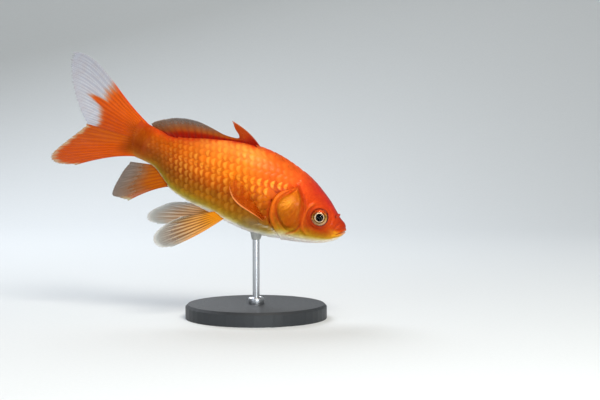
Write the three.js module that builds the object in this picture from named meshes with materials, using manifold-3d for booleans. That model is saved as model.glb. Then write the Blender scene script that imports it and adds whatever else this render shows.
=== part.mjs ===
// A common goldfish, life size, swimming nose down, held on a plain display stand.
//
// The fish is laid out in its own frame, in millimetres: the snout tip is at the origin, the head points
// along +X, the left side is +Y and the back is +Z. A place on it is given as [back, up, side]:
// back is the distance behind the snout along the spine, up the height over the spine's line, and
// side the distance to the left of the middle plane. The spine bends to the left behind the shoulders.
import * as THREE from "three";
import { mergeVertices } from "three/addons/utils/BufferGeometryUtils.js";
import Module from "manifold-3d";

const wasm = await Module();
wasm.setup();

// Driving dimensions.
const bodyEnd = 97; // where the tail stalk has tapered into the tail fin
const pitchDown = 24; // degrees that the head points below level
const snoutPlace = { x: 38, z: 37 }; // over the middle of the stand's underside
const bendStart = 42; // distance behind the snout where the spine starts to turn
const bendRadius = 205; // of the turn, in the level plane
const gap = 0.3; // between neighbouring pieces
const finThickness = 0.6;
const gillCoverThickness = 1.3;
const gillCoverStandsOut = 0.25;

const stand = { baseRadius: 30, baseHeight: 6, bevel: 1, rodRadius: 1.5, rodTop: 50 };
const eye = { back: 12.8, up: 1, radius: 3.9, depth: 2.6, sunk: 1.2 };
const bodySteps = { along: 38, around: 30 };
const hiddenSteps = { along: 22, around: 16 }; // for the walls behind the gill covers
const snoutCrowding = 1.6; // how much closer the body's rings lie at the snout: 1 is evenly spaced
const cutReach = 30; // how far the parting cuts reach to each side, well past the body

// The body's outline: [distance behind the snout, height or half width].
const backLine = [
  [0, 2.2], [2.7, 3.1], [4.5, 4.2], [6.9, 6], [10, 8.3], [13.4, 10.4], [20, 13.8], [26.5, 16], [38, 18.1],
  [48, 18], [57, 16.5], [64, 14.2], [71, 11.4], [79, 8], [85, 6.7], [90, 6.6], [98, 7.2],
];
const bellyLine = [
  [0, -3.1], [1.9, -4.9], [4.4, -7], [8.3, -9.4], [14.8, -12], [26, -15.1], [33, -16.5], [40, -17.2],
  [48, -17.1], [54, -16.5], [66, -15.9], [75.5, -14.2], [80.7, -11.1], [85, -8.9], [90, -8.1], [98, -8.3],
];
const halfWidth = [
  [0, 1.9], [3, 3.2], [7, 4.7], [13, 6.5], [20, 8.2], [28, 9.3], [38, 9.7],
  [48, 9.1], [60, 7.4], [71, 5.3], [81, 3.7], [89, 2.5], [94, 1.5], [98, 0.6],
];
// Height of the widest level, and how much the section narrows to the back and to the belly:
// 1 is an ellipse, more is a sharper ridge, less a flatter top.
const widestLevel = [[0, -0.5], [13, 0.2], [28, 0], [46, -1], [70, -1.8], [86, -1], [98, -1.4]];
const backPinch = [[0, 0.95], [20, 0.95], [46, 1.12], [70, 1.15], [98, 1]];
const bellyPinch = [[0, 0.9], [20, 0.85], [46, 0.9], [70, 1.15], [98, 1]];
const snoutRound = 2.2; // length over which the snout closes

// Where the body is parted, in side view: [back, up].
const gillLine = [
  [26, 21], [25.5, 12], [27.5, 8.6], [31.5, 5], [33.3, -1], [32.1, -7], [28.5, -11.5], [24, -15], [21, -21],
];
const stalkLine = [[80, 14], [77.5, 0], [80, -18]];
const mouthLine = [[-3, -0.9], [0.5, -1.2], [4.2, -3.1]];
const jawLine = [[4.2, -3.1], [6.5, -6], [8.5, -13]];
const gillCoverMiddle = [25.6, -1.6];
const gillCoverOutline = [
  [22, 5.6], [25.6, 8.4], [28.8, 5.8], [30.9, 0.6], [30.5, -5], [27.4, -9.6], [23.4, -10.6], [20.4, -7.4],
  [19.8, -0.6],
];

// Each fin has its root inside the body and the line through its ray tips, from first ray to last, as
// [back, up, side]. bow lifts the rays at one end of the fin along [back, up], most at their middle, or
// nearer their tips where lean is over 1, and wave is a ripple to the side. steps are across and out.
const medianFins = {
  tail_fin_upper: {
    root: [[91.5, 5.8, 0], [95.6, 3.2, 0], [96.2, -0.5, 0]],
    tips: [[143.8, 21, 1.5], [144.6, 17.8, 2], [142.6, 13.4, 2.2], [139, 9.2, 1.8], [134.4, 5.3, 1.2],
      [129.6, 1.5, 0.6], [125.4, -1.8, 0.2], [121.8, -4.1, 0]],
    bow: [-0.6, 4.5],
    lean: 2.2,
    bowed: "first",
    wave: 0.9,
    steps: [16, 7],
  },
  tail_fin_lower: {
    root: [[96.2, -0.9, 0], [95.6, -4.4, 0], [91.5, -7.4, 0]],
    tips: [[121.7, -4.5, 0], [123.8, -8.6, -0.2], [126.6, -13.8, -0.8], [129.3, -18.8, -1.6],
      [131, -22.6, -2.3], [130.4, -25, -2.3], [126.4, -25.3, -1.9], [118, -22.2, -1.1]],
    bow: [0.3, 2],
    lean: 0.8,
    bowed: "last",
    wave: -0.7,
    steps: [14, 6],
  },
  dorsal_fin: {
    root: [[46.5, 17.2, 0], [50, 16.9, 0], [53.5, 16.3, 0], [57, 15.4, 0], [61.5, 14, 0], [67, 11.8, 0],
      [72.5, 9.4, 0], [78, 7.3, 0], [83, 6, 0]],
    tips: [[63.1, 22.9, 0.7], [60.8, 20.4, 0.5], [57.7, 18.3, 0.3], [58, 17, 0.1], [63.6, 16.2, 0.3],
      [70, 16.7, 0.9], [77.4, 16.7, 1.3], [85.6, 14.4, 1.4], [93.4, 9.4, 0.6]],
    bow: [-0.6, 1.1],
    lean: 1,
    bowed: "first",
    wave: 0.4,
    steps: [28, 3],
  },
  anal_fin: {
    root: [[75, -13.2, 0], [78.5, -11.3, 0], [82, -9.2, 0], [85.6, -7.7, 0]],
    tips: [[89.7, -26.3, -0.8], [94, -27, -1], [97.6, -27.3, -1.2], [98.3, -23.6, -0.6], [97.9, -19.4, -0.2],
      [97.4, -15.4, 0.1], [96.2, -10.9, 0.3]],
    bow: [0.7, 0.9],
    lean: 0.8,
    bowed: "first",
    wave: 0.5,
    steps: [12, 5],
  },
};
// The pelvic fins differ from each other, because each is held at its own angle.
const pelvicFins = {
  right: {
    root: [[49, -16, -2.6], [51, -15.2, -3], [53.2, -14.4, -3.2]],
    tips: [[63.6, -35.6, -9], [68, -37.8, -10], [71.3, -36.8, -10], [72.1, -33.4, -9.4], [70, -28.2, -7.6],
      [65.6, -22.6, -5]],
    bow: [-0.3, -0.6],
    lean: 1,
    bowed: "first",
    wave: 0.5,
    steps: [12, 5],
  },
  left: {
    root: [[49, -16, 2.6], [51, -15.2, 3], [53.4, -14.6, 3.2]],
    tips: [[76, -31, 8.6], [81.4, -31.6, 9.6], [82.6, -28.6, 9.6], [79.4, -24.4, 9], [74.4, -20, 7.4],
      [68, -17, 5.6]],
    bow: [-0.2, -0.6],
    lean: 1,
    bowed: "first",
    wave: -0.5,
    steps: [12, 5],
  },
};
// The pectoral fins are raised along the flank, their first and thickest ray lowest and farthest out.
// Here the third number is the distance off the flank.
const pectoralFin = {
  root: [[32, -11, -1.2], [32.6, -9.7, -1.2], [33.4, -8.3, -1.2]],
  tips: [[52, -1.4, 4.6], [52.6, 0.6, 4.4], [51, 2.2, 3.7], [47, 1, 2.7], [42.2, -2.2, 1.8], [38, -5.4, 1.1]],
  bow: [0.5, -1.7],
  lean: 1.7,
  bowed: "first",
  wave: 0,
  steps: [10, 6],
};

// Colours and finish.
const skinPaint = { color: 0xf07a28, roughness: 0.35, metalness: 0.2 };
const headPaint = { color: 0xe8502a, roughness: 0.35, metalness: 0.1 };
const goldPaint = { color: 0xd98a1c, roughness: 0.3, metalness: 0.45 };
const finPaint = { color: 0xe07a35, roughness: 0.4, metalness: 0 };
const paleFinPaint = { color: 0xc9b9a0, roughness: 0.4, metalness: 0 };
const eyePaint = { color: 0xc08a3a, roughness: 0.1, metalness: 0.3 };
const standPaint = { color: 0x2b2d30, roughness: 0.5, metalness: 0 };
const steelPaint = { color: 0xb8babd, roughness: 0.3, metalness: 1 };

const clamp = (value, low, high) => Math.min(Math.max(value, low), high);

// One smooth run through equally or unequally spaced knots, read at one place.
function smooth(knots, values, at) {
  let k = 0;
  while (k < knots.length - 2 && at > knots[k + 1]) k += 1;
  const slope = (i) => {
    const before = Math.max(i - 1, 0);
    const after = Math.min(i + 1, knots.length - 1);
    return (values[after] - values[before]) / (knots[after] - knots[before]);
  };
  const step = knots[k + 1] - knots[k];
  const t = clamp((at - knots[k]) / step, 0, 1);
  const lift = t * t * (3 - 2 * t);
  const leave = slope(k) * step * t * (1 - t) * (1 - t);
  const arrive = slope(k + 1) * step * t * t * (t - 1);
  return values[k] + (values[k + 1] - values[k]) * lift + leave + arrive;
}

// A height or width at a distance behind the snout.
function along(pairs, at) {
  return smooth(pairs.map((pair) => pair[0]), pairs.map((pair) => pair[1]), at);
}

// A point of a smooth line through points, at a share of the way from the first to the last.
function pointOn(points, share) {
  const knots = points.map((_, i) => i / (points.length - 1));
  return points[0].map((_, axis) => smooth(knots, points.map((point) => point[axis]), share));
}

// From [back, up, side] to the fish's frame, round the bend of the spine.
function place([back, up, side]) {
  const turn = Math.max(back - bendStart, 0) / bendRadius;
  const straight = Math.min(back, bendStart);
  const behind = straight + bendRadius * Math.sin(turn) - side * Math.sin(turn);
  const left = bendRadius * (1 - Math.cos(turn)) + side * Math.cos(turn);
  return new THREE.Vector3(-behind, left, up);
}

// The body's section at a distance behind the snout, grown or shrunk by some millimetres.
function sectionAt(back, grow) {
  const reach = clamp((back + grow) / (snoutRound + grow), 0, 1);
  const close = Math.sqrt(1 - (1 - reach) ** 2);
  const level = along(widestLevel, Math.max(back, 0));
  return {
    level,
    top: (along(backLine, Math.max(back, 0)) - level + grow) * close,
    bottom: (level - along(bellyLine, Math.max(back, 0)) + grow) * close,
    half: (along(halfWidth, Math.max(back, 0)) + grow) * close,
    topPinch: along(backPinch, back),
    bottomPinch: along(bellyPinch, back),
  };
}

// Distance from the middle plane to the flank at a place in side view.
function flankAt(back, up) {
  const section = sectionAt(back, 0);
  const over = up > section.level;
  const rise = clamp((up - section.level) / (over ? section.top : section.bottom), -0.98, 0.98);
  const across = Math.sqrt(1 - rise * rise);
  return section.half * across ** (over ? section.topPinch : section.bottomPinch);
}

// A closed mesh from rings of points with a cap point at each end.
function closedLoft(rings, firstCap, lastCap) {
  const around = rings[0].length;
  const points = rings.flat().concat([firstCap, lastCap]);
  const faces = [];
  for (let ring = 0; ring < rings.length - 1; ring += 1) {
    for (let k = 0; k < around; k += 1) {
      const here = ring * around + k;
      const next = ring * around + ((k + 1) % around);
      faces.push(here, here + around, next, next, here + around, next + around);
    }
  }
  const lastRing = (rings.length - 1) * around;
  for (let k = 0; k < around; k += 1) {
    const next = (k + 1) % around;
    faces.push(points.length - 2, k, next, points.length - 1, lastRing + next, lastRing + k);
  }
  return solidFrom(points, faces);
}

// A solid from points and triangles, turned right side out where they wind inwards.
function solidFrom(points, faces) {
  const vertProperties = new Float32Array(points.flatMap((point) => point.toArray()));
  const wound = (triVerts) => new wasm.Manifold(new wasm.Mesh({ numProp: 3, vertProperties, triVerts }));
  const made = wound(new Uint32Array(faces));
  if (made.volume() > 0) return made;
  return wound(new Uint32Array(faces.map((_, i) => faces[i - (i % 3) + [0, 2, 1][i % 3]])));
}

function solidOf(geometry) {
  const bare = geometry.clone();
  bare.deleteAttribute("normal");
  bare.deleteAttribute("uv");
  const merged = mergeVertices(bare, 1e-4);
  const points = [];
  for (let i = 0; i < merged.attributes.position.count; i += 1) {
    points.push(new THREE.Vector3().fromBufferAttribute(merged.attributes.position, i));
  }
  return solidFrom(points, Array.from(merged.index.array));
}

// The whole body with no fins, grown by some millimetres. Rings crowd at the snout, where it curves most.
function bodySolid(grow, steps = bodySteps) {
  const rings = [];
  for (let step = 1; step <= steps.along; step += 1) {
    const share = step / steps.along;
    const back = -grow + (bodyEnd + grow) * share ** snoutCrowding;
    const section = sectionAt(back, grow);
    const ring = [];
    for (let k = 0; k < steps.around; k += 1) {
      const turn = (2 * Math.PI * (k + 0.5)) / steps.around;
      const over = Math.sin(turn) > 0;
      const pinch = over ? section.topPinch : section.bottomPinch;
      const side = section.half * Math.sign(Math.cos(turn)) * Math.abs(Math.cos(turn)) ** pinch;
      const up = section.level + (over ? section.top : section.bottom) * Math.sin(turn);
      ring.push(place([back, up, side]));
    }
    rings.push(ring);
  }
  const snout = place([-grow, sectionAt(0, grow).level, 0]);
  const end = place([bodyEnd + grow, sectionAt(bodyEnd, 0).level, 0]);
  return closedLoft(rings, snout, end);
}

// A fin: a thin sheet of straight or bowed rays from its root to the line of its tips.
function finSolid(fin, toFrame, thickness = finThickness) {
  const [across, out] = fin.steps;
  const sheet = (half) => {
    const points = [];
    for (let i = 0; i <= across; i += 1) {
      const ray = i / across;
      const root = pointOn(fin.root, ray);
      const tip = pointOn(fin.tips, ray);
      const bowed = (fin.bowed === "last" ? ray : 1 - ray) ** 2;
      for (let j = 0; j <= out; j += 1) {
        const reach = j / out;
        const leaned = reach ** fin.lean;
        const arch = 4 * leaned * (1 - leaned) * bowed;
        const ripple = fin.wave * Math.sin(2 * Math.PI * ray) * reach * reach;
        const back = root[0] + (tip[0] - root[0]) * reach + arch * fin.bow[0];
        const up = root[1] + (tip[1] - root[1]) * reach + arch * fin.bow[1];
        const side = root[2] + (tip[2] - root[2]) * reach + ripple;
        points.push(toFrame([back, up, side], half));
      }
    }
    return points;
  };
  const points = sheet(thickness / 2).concat(sheet(-thickness / 2));
  const row = out + 1;
  const other = (across + 1) * row;
  const faces = [];
  const quad = (a, b, c, d) => faces.push(a, b, c, a, c, d);
  for (let i = 0; i < across; i += 1) {
    for (let j = 0; j < out; j += 1) {
      const at = i * row + j;
      quad(at, at + row, at + row + 1, at + 1);
      quad(other + at, other + at + 1, other + at + row + 1, other + at + row);
    }
    quad(i * row, other + i * row, other + (i + 1) * row, (i + 1) * row);
    quad(i * row + out, (i + 1) * row + out, other + (i + 1) * row + out, other + i * row + out);
  }
  for (let j = 0; j < out; j += 1) {
    const last = across * row + j;
    quad(j, j + 1, other + j + 1, other + j);
    quad(last, other + last, other + last + 1, last + 1);
  }
  return solidFrom(points, faces);
}

// Offsets a point of a fin's sheet to one face of it, for fins in the middle plane or splayed from it.
function offMiddle([back, up, side], half) {
  return place([back, up, side + half]);
}

// The same for a fin that lies along the flank on one side: 1 is left and -1 right.
function offFlank(sign) {
  return ([back, up, off], half) => place([back, up, sign * (flankAt(back, up) + off + half)]);
}

// Side view outlines [back, up] as prisms and thin ribbons that reach through the whole body.
function sidePrism(shape, fromSide, toSide) {
  const prism = new THREE.ExtrudeGeometry(shape, { depth: toSide - fromSide, bevelEnabled: false });
  prism.rotateX(Math.PI / 2);
  prism.translate(0, toSide, 0);
  return solidOf(prism);
}

function ribbon(line, pieces) {
  const middle = new THREE.SplineCurve(line.map(([back, up]) => new THREE.Vector2(-back, up)));
  const edge = (side) =>
    middle.getSpacedPoints(pieces).map((point, i) => {
      const heading = middle.getTangentAt(i / pieces);
      return new THREE.Vector2(point.x - heading.y * side, point.y + heading.x * side);
    });
  const outline = edge(gap / 2).concat(edge(-gap / 2).reverse());
  return sidePrism(new THREE.Shape(outline), -cutReach, cutReach);
}

function gillCoverPrism(grow, sign) {
  const middle = new THREE.Vector2(-gillCoverMiddle[0], gillCoverMiddle[1]);
  const curve = new THREE.CatmullRomCurve3(
    gillCoverOutline.map(([back, up]) => {
      const point = new THREE.Vector2(-back, up);
      point.sub(middle).setLength(point.length() + grow).add(middle);
      return new THREE.Vector3(point.x, point.y, 0);
    }),
    true,
  );
  const shape = new THREE.Shape(curve.getPoints(30).map((point) => new THREE.Vector2(point.x, point.y)));
  return sign > 0 ? sidePrism(shape, 1, cutReach) : sidePrism(shape, -cutReach, -1);
}

function eyeSolid(sign, grow) {
  const ball = new THREE.SphereGeometry(1, 18, 10);
  ball.rotateX(Math.PI / 2);
  ball.scale(eye.radius + grow, eye.depth + grow, eye.radius + grow);
  const centre = place([eye.back, eye.up, sign * (flankAt(eye.back, eye.up) - eye.sunk)]);
  ball.translate(centre.x, centre.y, centre.z);
  return solidOf(ball);
}

// The flesh is one body, hollowed for the eyes and gill covers and parted by thin cuts.
const grownBody = bodySolid(gap);
const sides = { left: 1, right: -1 };
const solids = {};
let flesh = bodySolid(0);
for (const [side, sign] of Object.entries(sides)) {
  solids[`eye_${side}`] = eyeSolid(sign, 0);
  flesh = flesh.subtract(eyeSolid(sign, gap));
  const plate = bodySolid(gillCoverStandsOut).intersect(gillCoverPrism(0, sign));
  solids[`gill_cover_${side}`] = plate.subtract(bodySolid(-gillCoverThickness, hiddenSteps));
  const pocket = gillCoverPrism(gap, sign).subtract(bodySolid(-gillCoverThickness - gap, hiddenSteps));
  flesh = flesh.subtract(pocket);
}
const mouthCut = ribbon(mouthLine, 8).add(ribbon(jawLine, 8));
const parted = flesh.subtract(mouthCut).subtract(ribbon(gillLine, 20)).subtract(ribbon(stalkLine, 8));
const pieces = parted.decompose();
const rearmost = (piece) => piece.boundingBox().min[0];
pieces.sort((a, b) => rearmost(a) - rearmost(b));
["tail_stalk", "trunk", "head", "lower_jaw"].forEach((name, i) => {
  solids[name] = pieces[i];
});

// The fins, each stopped just short of the body.
for (const [name, fin] of Object.entries(medianFins)) {
  solids[name] = finSolid(fin, offMiddle).subtract(grownBody);
}
for (const [side, sign] of Object.entries(sides)) {
  solids[`pelvic_fin_${side}`] = finSolid(pelvicFins[side], offMiddle).subtract(grownBody);
  solids[`pectoral_fin_${side}`] = finSolid(pectoralFin, offFlank(sign)).subtract(grownBody);
}

const paints = {
  head: headPaint, lower_jaw: headPaint, gill_cover: goldPaint, trunk: skinPaint, tail_stalk: skinPaint,
  eye: eyePaint, pelvic_fin: paleFinPaint,
};

function geometryOf(solid) {
  const made = solid.getMesh();
  const geometry = new THREE.BufferGeometry();
  geometry.setAttribute("position", new THREE.BufferAttribute(made.vertProperties, 3));
  geometry.setIndex(new THREE.BufferAttribute(made.triVerts, 1));
  geometry.computeVertexNormals();
  return geometry;
}

function mesh(name, geometry, paint) {
  const made = new THREE.Mesh(geometry, new THREE.MeshStandardMaterial(paint));
  made.name = name;
  return made;
}

const fish = new THREE.Group();
fish.rotation.y = THREE.MathUtils.degToRad(pitchDown);
fish.position.set(snoutPlace.x, 0, snoutPlace.z);
for (const [name, solid] of Object.entries(solids)) {
  const kind = name.replace(/_(left|right)$/, "");
  fish.add(mesh(name, geometryOf(solid), paints[kind] ?? finPaint));
}
fish.updateMatrix();

// The stand: a round base and one rod that stops just under the belly.
function standBase() {
  const { baseRadius, baseHeight, bevel } = stand;
  const profile = [
    new THREE.Vector2(0, 0),
    new THREE.Vector2(baseRadius, 0),
    new THREE.Vector2(baseRadius, baseHeight - bevel),
    new THREE.Vector2(baseRadius - bevel, baseHeight),
    new THREE.Vector2(0, baseHeight),
  ];
  const base = new THREE.LatheGeometry(profile, 48);
  base.rotateX(Math.PI / 2);
  return base;
}

function standRod() {
  const height = stand.rodTop - stand.baseHeight;
  const rod = new THREE.CylinderGeometry(stand.rodRadius, stand.rodRadius, height, 20);
  rod.rotateX(Math.PI / 2);
  rod.translate(0, 0, stand.baseHeight + height / 2);
  const posed = geometryOf(grownBody);
  posed.applyMatrix4(fish.matrix);
  const parts = solidOf(rod).subtract(solidOf(posed)).decompose();
  parts.sort((a, b) => a.boundingBox().min[2] - b.boundingBox().min[2]);
  return geometryOf(parts[0]);
}

const model = new THREE.Group();
model.add(fish);
model.add(mesh("stand_base", standBase(), standPaint));
model.add(mesh("stand_rod", standRod(), steelPaint));

export default model;
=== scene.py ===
# A common goldfish at life size, swimming nose down, held by a rod on a plain round stand.
# Lengths in the dictionaries are millimetres. A place on the fish is [back, up, side]: back is the
# distance behind the snout along the spine, up the height over the spine's line, side the distance to the
# left.
import math

import bpy
import numpy as np
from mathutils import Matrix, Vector


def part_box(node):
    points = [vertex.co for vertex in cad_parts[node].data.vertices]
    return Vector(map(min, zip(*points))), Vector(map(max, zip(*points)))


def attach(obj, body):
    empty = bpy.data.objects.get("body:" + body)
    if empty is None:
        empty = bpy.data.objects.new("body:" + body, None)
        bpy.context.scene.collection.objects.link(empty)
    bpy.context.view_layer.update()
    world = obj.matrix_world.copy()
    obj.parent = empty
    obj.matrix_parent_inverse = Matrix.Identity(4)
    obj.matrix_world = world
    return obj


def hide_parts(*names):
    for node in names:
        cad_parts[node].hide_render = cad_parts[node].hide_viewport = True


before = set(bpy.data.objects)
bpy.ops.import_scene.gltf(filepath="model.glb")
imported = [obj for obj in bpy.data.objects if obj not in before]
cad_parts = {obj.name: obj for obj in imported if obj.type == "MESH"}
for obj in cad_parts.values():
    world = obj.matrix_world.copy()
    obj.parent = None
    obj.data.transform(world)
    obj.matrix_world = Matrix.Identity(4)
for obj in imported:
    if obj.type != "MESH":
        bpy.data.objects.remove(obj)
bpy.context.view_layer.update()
mm = 0.001
lineSteps = 14    # short stretches to each point of a curved line

# ---- how the fish lies in the world, the same as its solids

pose = {"pitchDown": 24, "snoutX": 38, "snoutZ": 37, "bendStart": 42, "bendRadius": 205}

body = {
    "snoutRound": 2.2,
    "backLine": [[0, 2.2], [2.7, 3.1], [4.5, 4.2], [6.9, 6], [10, 8.3], [13.4, 10.4], [20, 13.8],
                 [26.5, 16], [38, 18.1], [48, 18], [57, 16.5], [64, 14.2], [71, 11.4], [79, 8],
                 [85, 6.7], [90, 6.6], [98, 7.2]],
    "bellyLine": [[0, -3.1], [1.9, -4.9], [4.4, -7], [8.3, -9.4], [14.8, -12], [26, -15.1], [33, -16.5],
                  [40, -17.2], [48, -17.1], [54, -16.5], [66, -15.9], [75.5, -14.2], [80.7, -11.1],
                  [85, -8.9], [90, -8.1], [98, -8.3]],
    "halfWidth": [[0, 1.9], [3, 3.2], [7, 4.7], [13, 6.5], [20, 8.2], [28, 9.3], [38, 9.7], [48, 9.1],
                  [60, 7.4], [71, 5.3], [81, 3.7], [89, 2.5], [94, 1.5], [98, 0.6]],
    "widestLevel": [[0, -0.5], [13, 0.2], [28, 0], [46, -1], [70, -1.8], [86, -1], [98, -1.4]],
    "backPinch": [[0, 0.95], [20, 0.95], [46, 1.12], [70, 1.15], [98, 1]],
    "bellyPinch": [[0, 0.9], [20, 0.85], [46, 0.9], [70, 1.15], [98, 1]],
    "fleshEnd": 99.2,      # where the flesh has run out between the tail's rays
    "fleshRound": 2.2,
    "fleshBulge": 1.5,     # how much farther it reaches at mid height
}


def smooth(knots, values, at):
    knots, values, at = (np.asarray(given, float) for given in (knots, values, at))
    k = np.clip(np.searchsorted(knots, at, side="left") - 1, 0, len(knots) - 2)
    before = np.maximum(np.arange(len(knots)) - 1, 0)
    after = np.minimum(np.arange(len(knots)) + 1, len(knots) - 1)
    slope = (values[after] - values[before]) / (knots[after] - knots[before])
    step = knots[k + 1] - knots[k]
    t = np.clip((at - knots[k]) / step, 0, 1)
    lift = t * t * (3 - 2 * t)
    leave = slope[k] * step * t * (1 - t) * (1 - t)
    arrive = slope[k + 1] * step * t * t * (t - 1)
    return values[k] + (values[k + 1] - values[k]) * lift + leave + arrive


def along(pairs, at):
    return smooth([pair[0] for pair in pairs], [pair[1] for pair in pairs], at)


def pointOn(points, share):
    knots = np.linspace(0, 1, len(points))
    return [smooth(knots, [point[axis] for point in points], share) for axis in range(len(points[0]))]


def ease(low, high, value):
    t = np.clip((np.asarray(value, float) - low) / (high - low), 0, 1)
    return t * t * (3 - 2 * t)


def hump(value, centre, width):
    return np.exp(-(((value - centre) / width) ** 2))


def place(back, up, side):
    # round the bend of the spine, then nose down, in metres
    turn = np.maximum(back - pose["bendStart"], 0) / pose["bendRadius"]
    behind = np.minimum(back, pose["bendStart"]) + pose["bendRadius"] * np.sin(turn) - side * np.sin(turn)
    left = pose["bendRadius"] * (1 - np.cos(turn)) + side * np.cos(turn)
    tilt = math.radians(pose["pitchDown"])
    x = -behind * math.cos(tilt) + up * math.sin(tilt) + pose["snoutX"]
    z = behind * math.sin(tilt) + up * math.cos(tilt) + pose["snoutZ"]
    return np.stack(np.broadcast_arrays(x, left, z), -1) * mm


def surface(back, turn):
    # the body's outer surface: turn 0 is the left flank, a quarter turn the back, minus a quarter the
    # belly
    ahead = np.clip(back / body["snoutRound"], 0, 1)
    close = np.sqrt(1 - (1 - ahead) ** 2)
    past = np.clip((back - body["fleshEnd"] + body["fleshRound"]) / body["fleshRound"], 0, 1)
    level = along(body["widestLevel"], back)
    top = (along(body["backLine"], back) - level) * close
    bottom = (level - along(body["bellyLine"], back)) * close
    half = along(body["halfWidth"], back) * close * np.sqrt(np.maximum(1 - past ** 2, 0))
    above = np.sin(turn) > 0
    pinch = np.where(above, along(body["backPinch"], back), along(body["bellyPinch"], back))
    side = half * np.sign(np.cos(turn)) * np.abs(np.cos(turn)) ** pinch
    rise = np.where(above, top, bottom) * np.sin(turn)
    bulge = body["fleshBulge"] * ease(86, 97, back) * (1 - np.sin(turn) ** 2)
    return back + bulge, level + rise, side


def onBody(back, turn, height):
    # a point so many millimetres outside the body's surface
    back, turn = np.broadcast_arrays(np.asarray(back, float), np.asarray(turn, float))
    spot = place(*surface(back, turn))
    lengthwise = place(*surface(back + 0.05, turn)) - place(*surface(np.maximum(back - 0.05, 0), turn))
    around = place(*surface(back, turn + 0.004)) - place(*surface(back, turn - 0.004))
    outward = np.cross(lengthwise, around)
    size = np.linalg.norm(outward, axis=-1, keepdims=True)
    ahead = place(-1.0, 0.0, 0.0) - place(0.0, 0.0, 0.0)
    outward = np.where(size > 1e-12, outward / np.maximum(size, 1e-12), ahead / np.linalg.norm(ahead))
    return spot + outward * (np.asarray(height)[..., None] * mm)


def flankAt(back, up):
    level = along(body["widestLevel"], back)
    top = along(body["backLine"], back) - level
    bottom = level - along(body["bellyLine"], back)
    above = up > level
    rise = np.clip((up - level) / np.where(above, top, bottom), -0.98, 0.98)
    pinch = np.where(above, along(body["backPinch"], back), along(body["bellyPinch"], back))
    return along(body["halfWidth"], back) * np.sqrt(1 - rise * rise) ** pinch


def drawn(points, closed=False):
    # a smooth line in side view, as short straight stretches
    through = points + points[:1] if closed else points
    return np.stack(pointOn(through, np.linspace(0, 1, lineSteps * len(points))), -1)


def nearLine(line, back, up):
    # distance from a drawn line, and the share along it
    nearest = np.full(np.shape(back), 1e9)
    share = np.zeros(np.shape(back))
    for i, ((a, b), (c, d)) in enumerate(zip(line[:-1], line[1:])):
        run = (c - a) ** 2 + (d - b) ** 2
        t = np.clip(((back - a) * (c - a) + (up - b) * (d - b)) / run, 0, 1)
        away = np.hypot(back - a - t * (c - a), up - b - t * (d - b))
        closer = away < nearest
        nearest = np.where(closer, away, nearest)
        share = np.where(closer, (i + t) / (len(line) - 1), share)
    return nearest, share


def insideOf(outline, back, up):
    # distance inside a closed outline; below 0 outside it
    line = drawn(outline, closed=True)
    within = np.zeros(np.shape(back), bool)
    for (a, b), (c, d) in zip(line[:-1], line[1:]):
        if b != d:
            within ^= ((b > up) != (d > up)) & (back < (c - a) * (up - b) / (d - b) + a)
    return nearLine(line, back, up)[0] * np.where(within, 1, -1)


# ---- tables of marks
# Each row is a strength, then what it is multiplied by: a measure's name alone stands for its value,
# [measure, "from", a, b] grows from 0 at a to 1 at b, [measure, "about", a, b] is 1 at a and fades over b.

def strength(row, at):
    total, *spots = row
    for spot in spots:
        if isinstance(spot, str):
            total = total * at[spot]
        else:
            measure, form, first, second = spot
            total = total * (ease(first, second, at[measure]) if form == "from" else
                             hump(at[measure], first, second))
    return total


def summed(rows, at):
    return sum(strength(row, at) for row in rows)


def painted(colour, rows, at):
    for shade, *row in rows:
        colour = over(colour, shade, strength(row, at))
    return colour


def ends(line, fadeIn, fadeOut):
    # a line of marks runs out at its ends, over these shares of it
    spots = [[line + "Share", "from", 0, fadeIn]] if fadeIn else []
    return spots + ([[line + "Share", "from", 1, 1 - fadeOut]] if fadeOut else [])


# ---- camera, lights and colours

camera = {"lens": 100, "sensor": 36, "away": 704, "down": 4, "x": 18.6, "z": 50}
stage = {"width": 2600, "front": 1500, "behind": 900, "high": 1500, "curve": 500, "colour": "#dfe4e6"}
lights = {
    "key": {"at": [180, -480, 600], "size": 380, "watts": 4.6, "colour": "#fff6ea"},
    "fill": {"at": [-520, -620, 180], "size": 600, "watts": 1.3, "colour": "#eaf2ff"},
    "rim": {"at": [-200, 420, 460], "size": 360, "watts": 2.2, "colour": "#f4f7ff"},
    "under": {"at": [120, -420, 14], "size": 260, "watts": 1.15, "colour": "#f2faff"},
    "sky": 0.32,
}


def display(text):
    # a colour written as #rrggbb
    return np.array([int(text[k:k + 2], 16) / 255 for k in (1, 3, 5)])


def linear(values):
    # the numbers that shaders take
    return np.where(values <= 0.04045, values / 12.92, ((values + 0.055) / 1.055) ** 2.4)


def colourOf(text):
    return linear(display(text)).tolist()


def ramp(stops, at):
    colours = np.array([display(text) for _, text in stops])
    return np.stack([np.interp(at, [stop for stop, _ in stops], colours[:, k]) for k in range(3)], -1)


def mixed(first, second, share):
    return first + (second - first) * np.clip(share, 0, 1)[..., None]


def over(colour, text, share):
    return mixed(colour, display(text), share)


def nothingSelected():
    if bpy.context.object and bpy.context.object.mode != "OBJECT":
        bpy.ops.object.mode_set(mode="OBJECT")
    bpy.ops.object.select_all(action="DESELECT")


def aim(thing, target):
    thing.rotation_euler = (Vector(target) - thing.location).to_track_quat("-Z", "Y").to_euler()


def addCamera():
    nothingSelected()
    down = math.radians(camera["down"])
    middle = Vector((camera["x"], 0, camera["z"])) * mm
    spot = middle - Vector((0, math.cos(down), -math.sin(down))) * camera["away"] * mm
    bpy.ops.object.camera_add(location=spot)
    taker = bpy.context.object
    taker.name = "camera"
    aim(taker, middle)
    taker.data.lens = camera["lens"]
    taker.data.sensor_width = camera["sensor"]
    taker.data.clip_start = 0.01
    bpy.context.scene.camera = taker


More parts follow.
